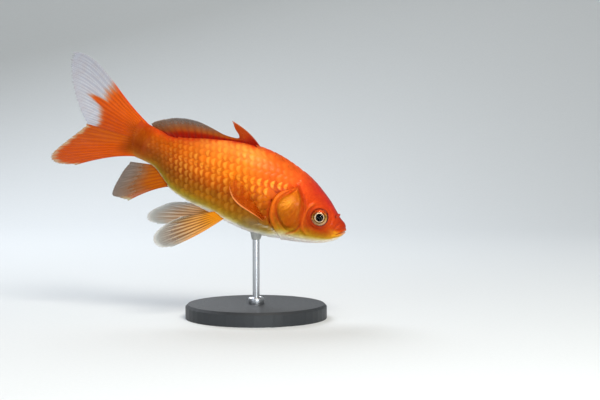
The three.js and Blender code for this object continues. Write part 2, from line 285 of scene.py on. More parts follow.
def addLights():
    middle = Vector((0, 0, 60)) * mm
    for name in ("key", "fill", "rim", "under"):
        facts = lights[name]
        nothingSelected()
        bpy.ops.object.light_add(type="AREA", location=Vector(facts["at"]) * mm)
        lamp = bpy.context.object
        lamp.name = "light_" + name
        lamp.data.shape = "DISK"
        lamp.data.size = facts["size"] * mm
        lamp.data.energy = facts["watts"]
        lamp.data.color = colourOf(facts["colour"])
        aim(lamp, middle)
    sky = bpy.data.worlds.new("sky")
    sky.use_nodes = True
    sky.node_tree.nodes["Background"].inputs["Color"].default_value = (*colourOf("#eef2f5"), 1)
    sky.node_tree.nodes["Background"].inputs["Strength"].default_value = lights["sky"]
    bpy.context.scene.world = sky


# ---- shader maths, written as plain sums

class Wire:
    def __init__(self, finish, socket):
        self.finish = finish
        self.socket = socket

    def maths(self, operation, left, right=0.0):
        return self.finish.node("Math", {"operation": operation}, {0: left, 1: right})

    def __add__(self, other):
        return self.maths("ADD", self, other)

    def __radd__(self, other):
        return self.maths("ADD", other, self)

    def __sub__(self, other):
        return self.maths("SUBTRACT", self, other)

    def __rsub__(self, other):
        return self.maths("SUBTRACT", other, self)

    def __mul__(self, other):
        return self.maths("MULTIPLY", self, other)

    def __rmul__(self, other):
        return self.maths("MULTIPLY", other, self)

    def __truediv__(self, other):
        return self.maths("DIVIDE", self, other)

    def __pow__(self, other):
        return self.maths("POWER", self, other)

    def absolute(self):
        return self.maths("ABSOLUTE", self)

    def wave(self):
        return self.maths("SINE", self)

    def atMost(self, other):
        return self.maths("MINIMUM", self, other)

    def atLeast(self, other):
        return self.maths("MAXIMUM", self, other)

    def between(self, low, high):
        # 0 below low, 1 above high, eased
        return self.finish.node("MapRange", {"interpolation_type": "SMOOTHSTEP"},
                                {"Value": self, "From Min": low, "From Max": high})


class Finish:
    # one material, with its principled shader
    def __init__(self, name, **constants):
        self.material = bpy.data.materials.new(name)
        self.material.use_nodes = True
        self.nodes = self.material.node_tree.nodes
        self.links = self.material.node_tree.links
        self.shader = self.nodes["Principled BSDF"]
        for socket, value in constants.items():
            self.feed(self.shader.inputs[socket.replace("_", " ")], value)

    def feed(self, socket, value):
        if isinstance(value, Wire):
            self.links.new(value.socket, socket)
        elif isinstance(value, str):
            socket.default_value = (*colourOf(value), 1)
        else:
            socket.default_value = value

    def node(self, kind, settings=None, inputs=None, output=0):
        made = self.nodes.new("ShaderNode" + kind)
        for setting, value in (settings or {}).items():
            if setting == "stops":
                self.setStops(made.color_ramp, value)
            else:
                setattr(made, setting, value)
        for socket, value in (inputs or {}).items():
            self.feed(made.inputs[socket], value)
        return Wire(self, made.outputs[output])

    def setStops(self, ramp, stops):
        while len(ramp.elements) < len(stops):
            ramp.elements.new(0.5)
        for element, (position, colour) in zip(ramp.elements, stops):
            element.position = position
            element.color = (*colourOf(colour), 1)

    def mix(self, factor, first, second, blend="MIX"):
        # colour sockets of a Mix node are its numbers 6 and 7, and its colour output is number 2
        return self.node("Mix", {"data_type": "RGBA", "blend_type": blend},
                         {0: factor, 6: first, 7: second}, output=2)

    def attribute(self, name, output="Color"):
        return self.node("Attribute", {"attribute_name": name}, output=output)

    def parts(self, vector):
        split = self.nodes.new("ShaderNodeSeparateXYZ")
        self.feed(split.inputs[0], vector)
        return [Wire(self, split.outputs[k]) for k in range(3)]

    def noise(self, scale, detail, vector=None):
        return self.node("TexNoise", {}, {"Vector": vector or self.spot(), "Scale": scale,
                                          "Detail": detail})

    def spot(self, scale=(1, 1, 1)):
        # the place on the piece, in metres, stretched
        where = self.node("TexCoord", {}, {}, output="Object")
        return self.node("Mapping", {}, {"Vector": where, "Scale": scale})

    def bump(self, height, strength, distance):
        normal = self.node("Bump", {}, {"Height": height, "Strength": strength, "Distance": distance * mm},
                           output="Normal")
        self.feed(self.shader.inputs["Normal"], normal)

    def colour(self, wire):
        self.feed(self.shader.inputs["Base Color"], wire)


# ---- finishes

def skinFinish():
    made = Finish("fish_skin", Coat_Roughness=0.15, Specular_IOR_Level=0.35, Specular_Tint="#ff9a58")
    tint = made.attribute("tint")
    shine = made.attribute("shine", "Fac")
    mottle = made.noise(900, 4).between(0.3, 0.7)
    fine = made.noise(4200, 2).between(0.35, 0.65)
    shade = made.mix(mottle * 0.30, tint, made.mix(1.0, tint, "#e8a890", "MULTIPLY"))
    worn = made.mix(fine * 0.12, shade, made.mix(1.0, tint, "#b07058", "MULTIPLY"))
    # gold flecks where the skin shines: partly its own iridescent gold, partly painted glints
    goldFlecksAndGlints = made.noise(700, 4, made.spot((1, 1, 0.6))).between(0.5, 0.72)
    made.colour(made.mix(goldFlecksAndGlints * shine * 0.4, worn, made.mix(0.5, tint, "#ffc040")))
    made.feed(made.shader.inputs["Metallic"], shine * (0.7 + mottle * 0.3))
    made.feed(made.shader.inputs["Roughness"], 0.5 - mottle * 0.08 - shine * 0.14)
    made.feed(made.shader.inputs["Coat Weight"], 0.06 + mottle * 0.08)
    made.bump(mottle * 0.6 + fine * 0.4, 0.25, 0.12)
    return made.material


def scaleFinish():
    # onScale holds a scale's own measures: across from -1 to 1, along from root to edge, a chance number
    made = Finish("fish_scales", Coat_Roughness=0.18, Specular_IOR_Level=0.35, Specular_Tint="#ff9a58")
    tint = made.attribute("tint")
    across, lengthwise, chance = made.parts(made.attribute("onScale", "Vector"))
    goldAndHighlight, gapPigmentAndShade, line = made.parts(made.attribute("look", "Vector"))
    skew = made.noise(160, 2) - 0.5
    far = (lengthwise - 0.8 + across * across * 0.3 - across * 0.12 + skew * 0.12) / 0.15
    wide = across * 1.5 + skew * 0.5 - 0.1
    heart = 1 - (far * far + wide * wide).between(0.0, 1.25)
    grooves = ((across * 34.0 + chance * 5.0).wave() * 0.5 + 0.5) * lengthwise.between(0.5, 0.8)
    rings = (lengthwise * 110.0 + across * across * 30.0).wave() * 0.5 + 0.5
    cloud = made.noise(420, 3).between(0.3, 0.7)
    # each scale's heart painted lighter and yellower, leaned upright: partly the scale's own gold, partly
    # a painted highlight
    light = (heart * goldAndHighlight * (0.45 + cloud * 0.7)).atMost(1.0)
    lit = made.mix(light, tint, made.mix(0.55, tint, "#ffb43c"))
    # the gaps between the hearts and the fine grooves darkened: partly pigment at the margins, partly
    # painted shade
    dark = made.mix(1.0, lit, "#b8481c", "MULTIPLY")
    edged = made.mix((1 - heart) * gapPigmentAndShade * (0.4 + cloud * 0.25), lit, dark)
    pore = line * lengthwise.between(0.58, 0.64) * (1 - lengthwise.between(0.8, 0.84)) \
        * (1 - across.absolute().between(0.04, 0.09))
    made.colour(made.mix(pore * 0.28, made.mix(grooves * 0.12, edged, dark), "#5c1c00"))
    made.feed(made.shader.inputs["Metallic"], 0.12 + heart * goldAndHighlight * 0.18)
    made.feed(made.shader.inputs["Roughness"], 0.5 - heart * goldAndHighlight * 0.12 + rings * 0.04)
    made.feed(made.shader.inputs["Coat Weight"], 0.05 + heart * 0.08)
    made.bump(rings * 0.35 + grooves * 0.65, 0.3, 0.04)
    return made.material


def finFinish(name, roughness=0.42):
    # onFin holds the ray's share, the reach along it and how much this place is ray rather than membrane
    made = Finish(name, Coat_Roughness=0.2, Specular_IOR_Level=0.16, Specular_Tint="#ff9858")
    tint = made.attribute("tint")
    ray, reach, bead = made.parts(made.attribute("onFin", "Vector"))
    joints = ((reach * 260.0 + ray * 9.0).wave() * 0.5 + 0.5) * bead
    cloud = made.noise(420, 4).between(0.3, 0.7)
    worn = made.mix(cloud * 0.25, tint, made.mix(1.0, tint, "#d8b8a0", "MULTIPLY"))
    made.colour(made.mix(joints * 0.22, worn, made.mix(1.0, tint, "#8a4a30", "MULTIPLY")))
    clear = made.attribute("tint", "Alpha")
    made.feed(made.shader.inputs["Alpha"], (clear + (cloud - 0.5) * 0.04).atMost(1.0).atLeast(0.05))
    made.feed(made.shader.inputs["Roughness"], roughness - bead * 0.08 + cloud * 0.06)
    made.feed(made.shader.inputs["Coat Weight"], 0.02 + bead * 0.08)
    made.bump(joints * 0.6 + cloud * 0.4, 0.35, 0.06)
    return made.material


def eyeFinish():
    # onEye holds the place across the eye in millimetres: along the fish, up, and a side number
    made = Finish("fish_eye", Specular_IOR_Level=0.06)
    lengthwise, up, _ = made.parts(made.attribute("onEye", "Vector"))
    radius = (lengthwise * lengthwise + up * up) ** 0.5
    streaks = made.noise(2600, 3, made.spot((1, 0.2, 1)))
    wobble = (streaks - 0.5) * 0.22
    ring = (radius + wobble) / 4.0
    iris = made.node("ValToRGB", {"stops": [
        (0.0, "#7a4a08"), (0.51, "#7c5410"), (0.56, "#6e4604"), (0.62, "#80540a"), (0.70, "#c89038"),
        (0.79, "#d4a04c"), (0.83, "#8a2c10"), (1.0, "#6e1c0a")]}, {"Fac": ring})
    turned = up / 3.4 - lengthwise / 8.0
    brow = (turned + 0.1).between(0.25, 0.85) * ring.between(0.5, 0.62)
    crown = made.mix(brow * 0.95, iris, "#cc4410")
    low = made.mix((0.0 - turned).between(0.05, 0.7) * ring.between(0.6, 0.7) * 0.7, crown, "#dcb48c")
    bright = made.mix(streaks.between(0.5, 0.8) * 0.3 * (1 - brow), low, "#dca040")
    collar = made.mix(ring.between(0.40, 0.43) * (1 - ring.between(0.48, 0.52)) * 0.85, bright, "#ecccaa")
    outer = made.mix(ring.between(0.81, 0.86), collar, "#7a1e0c")
    made.colour(made.mix(1 - (radius / 4.0).between(0.405, 0.425), outer, "#0a0403"))
    made.feed(made.shader.inputs["Metallic"],
              ring.between(0.42, 0.5) * (1 - ring.between(0.8, 0.85)) * (1 - brow) * 0.45)
    made.feed(made.shader.inputs["Roughness"], 0.18 + ring.between(0.4, 0.45) * 0.22)
    made.bump(streaks * ring.between(0.4, 0.46), 0.3, 0.08)
    return made.material


def clearFinish():
    made = Finish("eye_cornea", Base_Color="#ffffff", Roughness=0.02, IOR=1.16, Transmission_Weight=1.0)
    return made.material


def paintFinish():
    made = Finish("stand_paint", Specular_IOR_Level=0.45)
    grain = made.noise(2600, 5).between(0.3, 0.7)
    broad = made.noise(60, 3).between(0.2, 0.8)
    made.colour(made.mix(grain * 0.35 + broad * 0.2, "#24272a", "#34383c"))
    made.feed(made.shader.inputs["Roughness"], 0.44 + grain * 0.14)
    made.bump(grain, 0.22, 0.06)
    return made.material


def steelFinish():
    made = Finish("stand_steel")
    hairlines = made.noise(900, 3, made.spot((6, 6, 0.12))).between(0.25, 0.75)
    smudge = made.noise(120, 3).between(0.2, 0.8)
    made.colour(made.mix(hairlines * 0.5 + smudge * 0.2, "#c6c8cb", "#9a9da1"))
    made.feed(made.shader.inputs["Metallic"], 0.97 + hairlines * 0.03)
    made.feed(made.shader.inputs["Roughness"], 0.24 + hairlines * 0.12 + smudge * 0.06)
    made.bump(hairlines, 0.15, 0.03)
    return made.material


def padFinish():
    made = Finish("stand_pad_rubber", Specular_IOR_Level=0.35)
    grain = made.noise(3000, 4).between(0.3, 0.7)
    made.colour(made.mix(grain * 0.5, "#8f8f8a", "#a9a9a4"))
    made.feed(made.shader.inputs["Roughness"], 0.62 + grain * 0.14)
    made.bump(grain, 0.3, 0.05)
    return made.material


def floorFinish():
    made = Finish("floor_paper", Specular_IOR_Level=0.2)
    tooth = made.noise(700, 4).between(0.3, 0.7)
    made.colour(made.mix(tooth * 0.12, stage["colour"], "#cfd5d8"))
    made.feed(made.shader.inputs["Roughness"], 0.82 + tooth * 0.1)
    return made.material


# ---- small helpers for modelling

def select(piece, kind, test):
    # leaves the piece in edit mode, with the faces or edges selected whose middle, in millimetres, passes
    bpy.context.view_layer.objects.active = piece
    bpy.ops.object.mode_set(mode="EDIT")
    bpy.ops.mesh.select_mode(type=kind)
    bpy.ops.mesh.select_all(action="DESELECT")
    bpy.ops.object.mode_set(mode="OBJECT")
    mesh = piece.data
    if kind == "FACE":
        for face in mesh.polygons:
            face.select = bool(test(face.center / mm))
    else:
        for edge in mesh.edges:
            first, second = (mesh.vertices[k].co for k in edge.vertices)
            edge.select = bool(test((first + second) / 2 / mm))
    bpy.ops.object.mode_set(mode="EDIT")


def settle(piece):
    # back to object mode, with its place in its mesh
    bpy.ops.object.mode_set(mode="OBJECT")
    nothingSelected()
    piece.select_set(True)
    bpy.context.view_layer.objects.active = piece
    bpy.ops.object.transform_apply(location=True, rotation=True, scale=True)


def newGrid(name, columns, rows, twoSided=False):
    # a flat grid two metres square, or a slab a metre thick, to be laid over a shape
    nothingSelected()
    bpy.ops.mesh.primitive_grid_add(x_subdivisions=columns, y_subdivisions=rows, size=2, calc_uvs=True)
    piece = bpy.context.object
    piece.name = name
    piece.data.name = name
    piece.data.uv_layers[0].name = "OFBake"
    if twoSided:
        bpy.ops.object.mode_set(mode="EDIT")
        bpy.ops.mesh.select_all(action="SELECT")
        bpy.ops.mesh.extrude_region_move(TRANSFORM_OT_translate={"value": (0, 0, -1)})
        bpy.ops.object.mode_set(mode="OBJECT")
    return piece


def pointsOf(piece):
    points = np.zeros(len(piece.data.vertices) * 3)
    piece.data.vertices.foreach_get("co", points)
    return points.reshape(-1, 3)


def movePoints(piece, points):
    piece.data.vertices.foreach_set("co", np.ascontiguousarray(points, float).ravel())
    piece.data.update()


def mark(piece, name, kind, values):
    # a named number, vector or colour on each point, for the finish to read
    field = {"FLOAT": "value", "FLOAT_VECTOR": "vector", "FLOAT_COLOR": "color"}[kind]
    made = piece.data.attributes.new(name, kind, "POINT")
    made.data.foreach_set(field, np.ascontiguousarray(values, np.float32).ravel())


def volumeOf(piece):
    # below 0 where a closed shape is inside out
    piece.data.calc_loop_triangles()
    corners = np.zeros(len(piece.data.loop_triangles) * 3, int)
    piece.data.loop_triangles.foreach_get("vertices", corners)
    first, second, third = pointsOf(piece)[corners.reshape(-1, 3)].transpose(1, 0, 2)
    return float(np.sum(first * np.cross(second, third))) / 6


def closeUp(piece, angle):
    # seams and poles merged, faces out, smooth but for real edges
    nothingSelected()
    piece.select_set(True)
    bpy.context.view_layer.objects.active = piece
    bpy.ops.object.mode_set(mode="EDIT")
    bpy.ops.mesh.select_all(action="SELECT")
    bpy.ops.mesh.remove_doubles(threshold=1e-6)
    bpy.ops.mesh.normals_make_consistent(inside=False)
    bpy.ops.object.mode_set(mode="OBJECT")
    if volumeOf(piece) < 0:    # the operator goes by the farthest face, which misleads on a thin, bent end
        bpy.ops.object.mode_set(mode="EDIT")
        bpy.ops.mesh.flip_normals()
        bpy.ops.object.mode_set(mode="OBJECT")
    bpy.ops.object.shade_smooth_by_angle(angle=math.radians(angle))


def dress(piece, finish, slotName, *nodes):
    piece.data.materials.clear()
    piece.data.materials.append(finish)
    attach(piece, "root")
    if nodes:
        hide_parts(*nodes)
    return piece


# ---- floor

def addFloor():
    nothingSelected()
    bpy.ops.mesh.primitive_plane_add(size=1)
    floor = bpy.context.object
    floor.name = "floor"
    floor.scale = (stage["width"] * mm, (stage["front"] + stage["behind"]) * mm, 1)
    floor.location.y = (stage["behind"] - stage["front"]) / 2 * mm
    settle(floor)
    select(floor, "EDGE", lambda middle: middle.y > stage["behind"] - 1)
    bpy.ops.mesh.extrude_region_move(TRANSFORM_OT_translate={"value": (0, 0, stage["high"] * mm)})
    settle(floor)
    select(floor, "EDGE", lambda middle: middle.y > stage["behind"] - 1 and abs(middle.z) < 1)
    bpy.ops.mesh.bevel(offset=stage["curve"] * mm, segments=24, profile=0.5)
    bpy.ops.object.mode_set(mode="OBJECT")
    bpy.ops.object.shade_smooth()
    floor.data.materials.append(floorFinish())


# ---- the lines and spots of the head, in side view: [back, up]

head = {
    "gillLine": [[26, 21], [25.6, 12], [27.7, 8], [32.4, 4.5], [33.8, -0.4], [33.1, -5.6], [31.2, -8.8],
                 [28.6, -11.1], [24, -14.4], [21, -21]],
    "slitTop": 9.2,
    "gillCover": [[26.3, 9], [27.9, 5.8], [30.2, 2.6], [31, 0], [30.5, -2.6], [28.9, -5], [26.6, -7.2],
                  [23.8, -8.8], [20.9, -8.2], [19.6, -5.4], [19.8, -2], [21, 2.2], [23, 5.4]],
    "coverRidges": 26,          # fine ridges to a full turn round the hinge
    "coverFade": [20.5, 25],    # towards the cheek the cover fades into the head
    "foldsEnd": [36.5, 34.5],
    "lines": {
        "membraneRim": [[27.4, 8], [31.5, 3.8], [32.7, -0.7], [32, -5], [30.3, -7.9], [28, -10.2],
                        [25, -12.2]],
        "innerCover": [[22.6, 7], [20.6, 3.6], [19.3, 0], [18.8, -4.6], [19.8, -8.4], [22.6, -10.8]],
        "cheekRidge": [[16.2, 6.2], [18, 3.9], [18.9, 1], [18.8, -2], [18.3, -4.6], [16.6, -7],
                       [13, -8.6]],
        "lipFold": [[3, 2.4], [4.3, 0.6], [4.9, -1.6], [4.5, -3.5]],
        "mouth": [[-3, -0.2], [0, -0.4], [1.2, -1.4], [2.6, -2.6], [3.6, -3.4]],
        "chinFold": [[0.2, -3.3], [2.2, -4.4], [4.4, -5.4]],
        "throatRayUpper": [[23, -11.6], [17, -10.9], [11, -8.9]],
        "throatRayLower": [[23, -12.9], [17, -12.1], [11, -10.1]],
        "breastFold": [[24.4, -13.2], [28.7, -11.9], [32.7, -11.8], [36, -12]],
    },
    "spots": {
        "Eye": [12.8, 1], "Nostril": [6.2, 4], "Hinge": [24, 5.5], "Shoulder": [33.4, -9.8],
    },
}
coat = {"depth": 0.7, "tailFrom": 85, "tailTo": 92.5, "shoulderBare": [2.6, 1.7], "shoulderLong": 0.8}


def gillBack(up):
    line = sorted(head["gillLine"], key=lambda pair: pair[1])
    return smooth([pair[1] for pair in line], [pair[0] for pair in line], up)


def shoulderAway(back, up):
    # from the pectoral fin's root, where no scale lies
    shoulderBack, shoulderUp = head["spots"]["Shoulder"]
    return np.hypot((back - shoulderBack) * coat["shoulderLong"], up - shoulderUp)


def measuresOf(back, up, side):
    # what the tables of marks ask for, at each point of the body. Each line of the head gives the distance
    # from it, and as its name with Share the share along it; each spot gives fromEye and so on
    top, bottom = along(body["backLine"], back), along(body["bellyLine"], back)
    at = {
        "back": back, "up": up, "side": np.abs(side),
        "height": np.clip((up - bottom) / (top - bottom), 0, 1),
        "aboveBelly": up - bottom,
        "aboveMouth": up - along(head["lines"]["mouth"], back),
        "behindGill": back - gillBack(up),
        "insideCover": insideOf(head["gillCover"], back, up),
        "behindCheek": ease(*head["coverFade"], back + up * 0.1),
    }
    for name, line in head["lines"].items():
        at[name], at[name + "Share"] = nearLine(drawn(line), back, up)
    for name, (spotBack, spotUp) in head["spots"].items():
        at["from" + name] = np.hypot(back - spotBack, up - spotUp)
    return at


def covered(at):
    # 1 where scales lie over the skin, 0 on the bare head and at the tail's root
    slitTop = head["slitTop"]
    sharp = ease(-0.1, 0.25, at["behindGill"])
    soft = ease(0.0, 3.2, at["behindGill"])
    bareAbove = ease(slitTop - 1.5, slitTop + 1.5, at["up"])
    front = sharp + (soft - sharp) * np.maximum(bareAbove, ease(-11, -13, at["up"]))
    bare = ease(*coat["shoulderBare"], shoulderAway(at["back"], at["up"]))
    return front * (1 - ease(coat["tailFrom"], coat["tailTo"], at["back"])) * (1 - bare)


# how far the skin stands out of the plain body, or below 0 lies under it, in millimetres
slitReach = [["up", "from", head["slitTop"], head["slitTop"] - 2.2], ["up", "from", -17, -13.5]]
lipReach = [*ends("mouth", 0, 0.1), ["back", "from", 5.4, 3.6]]
folds = {
    "gill slit": [-0.75, ["behindGill", "about", 0.42, 0.42], *slitReach],
    "edge of the slit": [0.16, ["behindGill", "about", -0.55, 0.55], *slitReach],
    "gill cover": [0.42, "plate"],
    "groove round the cover": [-0.34, ["insideCover", "about", -0.6, 0.42], "grooveShare"],
    "ridges of the cover": [0.05, "plate", "ridge", ["fromHinge", "from", 1.5, 6]],
    "hinge of the cover": [0.22, "plate", ["fromHinge", "about", 3.2, 3.0]],
    "membrane rim": [0.2, ["membraneRim", "about", 0, 0.75], *ends("membraneRim", 0.12, 0.15)],
    "inner cover's groove": [-0.3, ["innerCover", "about", 0, 0.4], *ends("innerCover", 0.1, 0.12)],
    "inner cover's edge": [0.14, ["innerCover", "about", 1.1, 0.8], *ends("innerCover", 0.1, 0.12)],
    "cheek ridge": [0.26, ["cheekRidge", "about", 0, 0.6], *ends("cheekRidge", 0.15, 0.2)],
    "hollow by the ridge": [-0.16, ["cheekRidge", "about", 1.25, 0.6], *ends("cheekRidge", 0.15, 0.2)],
    "fold behind the lips": [-0.24, ["lipFold", "about", 0, 0.35], *ends("lipFold", 0.2, 0)],
    "swell behind the fold": [0.10, ["lipFold", "about", 0.9, 0.5]],
    "mouth": [-0.5, ["mouth", "about", 0, 0.2], *ends("mouth", 0, 0.1)],
    "upper lip": [0.14, ["aboveMouth", "about", 0.7, 0.5], *lipReach],
    "lower lip": [0.16, ["aboveMouth", "about", -0.6, 0.45], *lipReach],
    "groove over the lip": [-0.14, ["aboveMouth", "about", 1.9, 0.6], *lipReach],
    "chin fold": [-0.2, ["chinFold", "about", 0, 0.35], *ends("chinFold", 0, 0.2)],
    "upper throat ray": [-0.13, ["throatRayUpper", "about", 0, 0.3], *ends("throatRayUpper", 0.1, 0.4)],
    "lower throat ray": [-0.13, ["throatRayLower", "about", 0, 0.3], *ends("throatRayLower", 0.1, 0.4)],
    "throat's middle": [-0.3, ["side", "about", 0, 0.5], ["back", "from", 9, 14],
                        ["back", "from", 26, 22], ["up", "from", 1, 0]],
    "eyelid": [0.2, ["fromEye", "about", 4.25, 0.5]],
    "groove round the eyelid": [-0.14, ["fromEye", "about", 5.3, 0.6]],
    "brow": [0.16, ["fromEye", "about", 6, 1], ["up", "from", 1, 4]],
    "eye socket": [-2.2, ["fromEye", "from", 3.5, 2.93]],
    "nostril": [-0.55, ["fromNostril", "about", 0, 0.5]],
    "nostril flap": [0.85, ["back", "about", 5.5, 0.38], ["up", "about", 4.6, 0.6],
                     ["side", "from", 0.25, 0.95]],
    "shoulder": [0.1, ["fromShoulder", "about", 0, 1.4]],
    "uneven skin": [0.02, "rough", ["back", "from", 2, 5], "offPlate"],
}


def headRelief(at):
    back, up, rear = at["back"], at["up"], at["behindCheek"]
    hingeBack, hingeUp = head["spots"]["Hinge"]
    plate = ease(-0.25, 2.75 - 2.0 * rear, at["insideCover"])
    swirl = np.arctan2(up - hingeUp, back - hingeBack) * head["coverRidges"]
    swirl = swirl + 0.8 * np.sin(at["fromHinge"] * 1.3)
    rough = np.sin(back * 1.9 + up * 0.7) * np.sin(up * 2.3 - back * 0.6)
    rough = rough + np.sin(back * 4.1 + 1.3) * np.sin(up * 3.7)
    at = {**at, "plate": plate, "offPlate": 1 - plate, "ridge": np.sin(swirl), "rough": rough,
          "grooveShare": 0.15 + 0.85 * rear}
    return summed(folds.values(), at) * ease(*head["foldsEnd"], back)


# ---- markings with painted shade and light, the same on the skin and on the scales

# the ramps darken low on the sides: the browns and olives there are partly the fish's own colours and
# partly painted shade; the white at the very edge of the belly and chin is partly its pale colour and
# partly painted light
paint = {    # ramps from the belly up to the back
    "trunk": [(0, "#ffffff"), (0.03, "#f8f8ea"), (0.05, "#ccc27c"), (0.08, "#a88c2a"), (0.12, "#986e0a"),
              (0.18, "#9c5e02"), (0.25, "#925402"), (0.35, "#a54e01"), (0.45, "#d06a04"),
              (0.55, "#e67c10"), (0.65, "#e47818"), (0.75, "#ec7a20"), (0.85, "#ee822c"),
              (0.93, "#f29038"), (0.97, "#ea6a20"), (1, "#d83c10")],
    "stalk": [(0, "#f4f4e4"), (0.04, "#a4903a"), (0.09, "#86600c"), (0.2, "#7c4402"), (0.3, "#804000"),
              (0.42, "#8e4200"), (0.55, "#a44a00"), (0.68, "#aa4a00"), (0.82, "#b44c02"), (1, "#c83810")],
    "tail": [(0, "#b08040"), (0.15, "#904606"), (0.35, "#883600"), (0.5, "#9c4604"), (0.75, "#ac4600"),
             (1, "#c04010")],
    "head": [(0, "#ffffff"), (0.06, "#fdfdf0"), (0.12, "#dccc84"), (0.17, "#b28c1c"), (0.25, "#aa6204"),
             (0.35, "#a83c00"), (0.45, "#b23a00"), (0.55, "#be4000"), (0.65, "#c63e04"), (0.75, "#cc4010"),
             (0.85, "#c63818"), (0.93, "#c83020"), (1, "#b82c30")],
    # the gill cover lighter towards its top: partly its own colour, partly painted light
    "gillCover": [(0, "#a05000"), (0.35, "#aa5a00"), (0.7, "#bc6602"), (1, "#c85e10")],
    "stalkFrom": [60, 84],
    "tailFrom": [84, 93],
    "headFrom": [31, 25],
    "coverSpan": [-10.4, 8.6],
    # a painted golden highlight on the gill cover
    "coverHighlight": {"back": 27.4, "up": 1.8, "radius": 2.2, "colour": "#f09a30"},
    # painted shade, for the grooves, slits and hollows of the face
    "groove": "#9c2800",
    # the dark rim round the eye: partly its own colour, partly painted shade
    "socket": "#86200a",
}
bodyMarksAndShade = {
    # painted shade: the pale lower flank darkened to olive
    "olive flank": ["#8a7a14", 0.75, ["back", "from", 54, 66], ["back", "from", 86, 78],
                    ["height", "about", 0.055, 0.04]],
    # painted shade on the belly below the pectoral fin
    "mauve belly": ["#8c7c68", 0.7, ["back", "about", 37, 6], ["height", "about", 0.12, 0.08]],
    "white breast": ["#eceedc", 0.6, ["back", "about", 31, 5], ["height", "from", 0.1, 0.03]],
    "red shoulder": ["#dc5a16", 0.9, ["back", "from", 49, 38], ["height", "from", 0.5, 0.66]],
}
headMarks = {
    "nape": ["#e6541e", 0.7, ["back", "about", 26, 6], ["height", "from", 0.6, 0.8]],
    "snout": ["#a82e0e", 0.8, ["back", "from", 9, 3], ["up", "from", -1.6, 1.2]],
    "yellow chin": ["#ecac24", 0.8, ["back", "from", 8.5, 3.5], ["up", "from", -0.8, -2.6],
                    ["height", "from", 0.05, 0.2]],
}
faceMarksShadeAndHighlight = {
    # painted shade in the groove round the cover, stronger behind the cheek
    "groove round the cover": [paint["groove"], 1, "coverEdge", ["insideCover", "about", -0.7, 0.6],
                               ["up", "from", -12, -6]],
    "membrane rim": ["#de6410", 0.7, ["membraneRim", "about", 0, 0.8], ["up", "from", -12, -7]],
    # painted shade in the inner cover's groove
    "inner cover": [paint["groove"], 0.45, ["innerCover", "about", 0, 0.5]],
    # a painted highlight along the cheek ridge
    "cheek ridge": ["#e06a1a", 0.7, ["cheekRidge", "about", 0, 0.55], *ends("cheekRidge", 0.15, 0.3)],
    # painted shade in the gill slit
    "gill slit": [paint["groove"], 0.85, ["behindGill", "about", 0.3, 0.5],
                  ["up", "from", head["slitTop"], head["slitTop"] - 2], ["up", "from", -14, -10]],
    "lips": ["#f0ccb8", 0.85, ["aboveMouth", "about", -0.2, 1.1], ["back", "from", 2.2, 0.4]],
    # the throat's lower edge whitened: partly its own pale colour, partly painted light
    "white throat": ["#f8f4e0", 0.85, ["aboveBelly", "from", 2, 0.9], ["back", "from", 12, 8],
                     ["up", "from", -1.6, -2.6]],
    # painted shade in the mouth's slit
    "mouth": [paint["groove"], 0.4, ["mouth", "about", 0, 0.2], *ends("mouth", 0, 0.1)],
    # the dark ring round the eye: partly its own colour, partly painted shade, wider low and behind
    "eye socket": [paint["socket"], 1, "socket"],
    "shade behind the eye": [paint["groove"], 0.65, ["fromEye", "about", 4.7, 1.1], "lowRear"],
    # painted shade in the nostril
    "nostril": ["#6e1808", 0.8, ["fromNostril", "about", 0, 0.5]],
    # painted shade in the pectoral fin's armpit
    "fin's armpit": [paint["groove"], 0.6, ["back", "about", 34.6, 2], ["up", "about", -8.3, 1.2]],
    "breast fold": ["#d8d4c0", 0.8, ["breastFold", "about", 0, 0.4], *ends("breastFold", 0.2, 0.2)],
}


def coverPaint(at):
    # the gill cover: a painted golden highlight with streaks, and browner towards the cheek
    back, up, highlight = at["back"], at["up"], paint["coverHighlight"]
    low, high = paint["coverSpan"]
    cover = ramp(paint["gillCover"], np.clip((up - low) / (high - low), 0, 1))
    streak = 0.8 + 0.2 * np.sin(up * 3.1 + back * 1.7) * np.sin(back * 4.3 - up)
    # distance from the painted highlight's middle
    shine = np.hypot((back - highlight["back"]) * 0.85, up - highlight["up"] - (26 - back) * 0.35)
    cover = over(cover, highlight["colour"], hump(shine, 0, highlight["radius"]) * streak * 0.9)
    return over(cover, "#ae5204", ease(27.2, 23.8, back + up * 0.1) * 0.92)


def marksShadeAndLight(at):
    # display colours, painted shade and light among them; the caller makes them linear
    back, up, height, rear = at["back"], at["up"], at["height"], at["behindCheek"]
    wander = 0.02 * np.sin(back * 0.9 + up * 0.4) + 0.015 * np.sin(back * 2.1 - up * 1.3)
    wander = wander * ease(0.1, 0.4, height)
    colour = mixed(ramp(paint["trunk"], height + wander), ramp(paint["stalk"], height + wander),
                   ease(*paint["stalkFrom"], back))
    colour = mixed(colour, ramp(paint["tail"], height), ease(*paint["tailFrom"], back))
    colour = painted(colour, bodyMarksAndShade.values(), at)
    ahead = ease(*paint["headFrom"], back + 3.0 * ease(0.75, 0.95, height))
    colour = mixed(colour, ramp(paint["head"], height + wander * 0.5), ahead)
    colour = painted(colour, headMarks.values(), at)
    colour = mixed(colour, coverPaint(at), ease(-0.5, 2.7 - 2.0 * rear, at["insideCover"]))
    eyeBack, eyeUp = head["spots"]["Eye"]
    # low and behind the eye, where the painted shade round and behind it grows
    lowRear = ease(-2.5, 3.0, (back - eyeBack) - (up - eyeUp))
    at = {**at, "coverEdge": 0.12 + 0.4 * rear, "lowRear": lowRear,
          "socket": ease(4.25 + 0.5 * lowRear, 3.5, at["fromEye"])}
    return np.clip(painted(colour, faceMarksShadeAndHighlight.values(), at), 0, 1)


def asTint(colour, clear=1.0):
    # display colours and an opacity, as the shader's colour attribute
    return np.concatenate([linear(colour), np.broadcast_to(clear, colour.shape[:-1])[..., None]], -1)


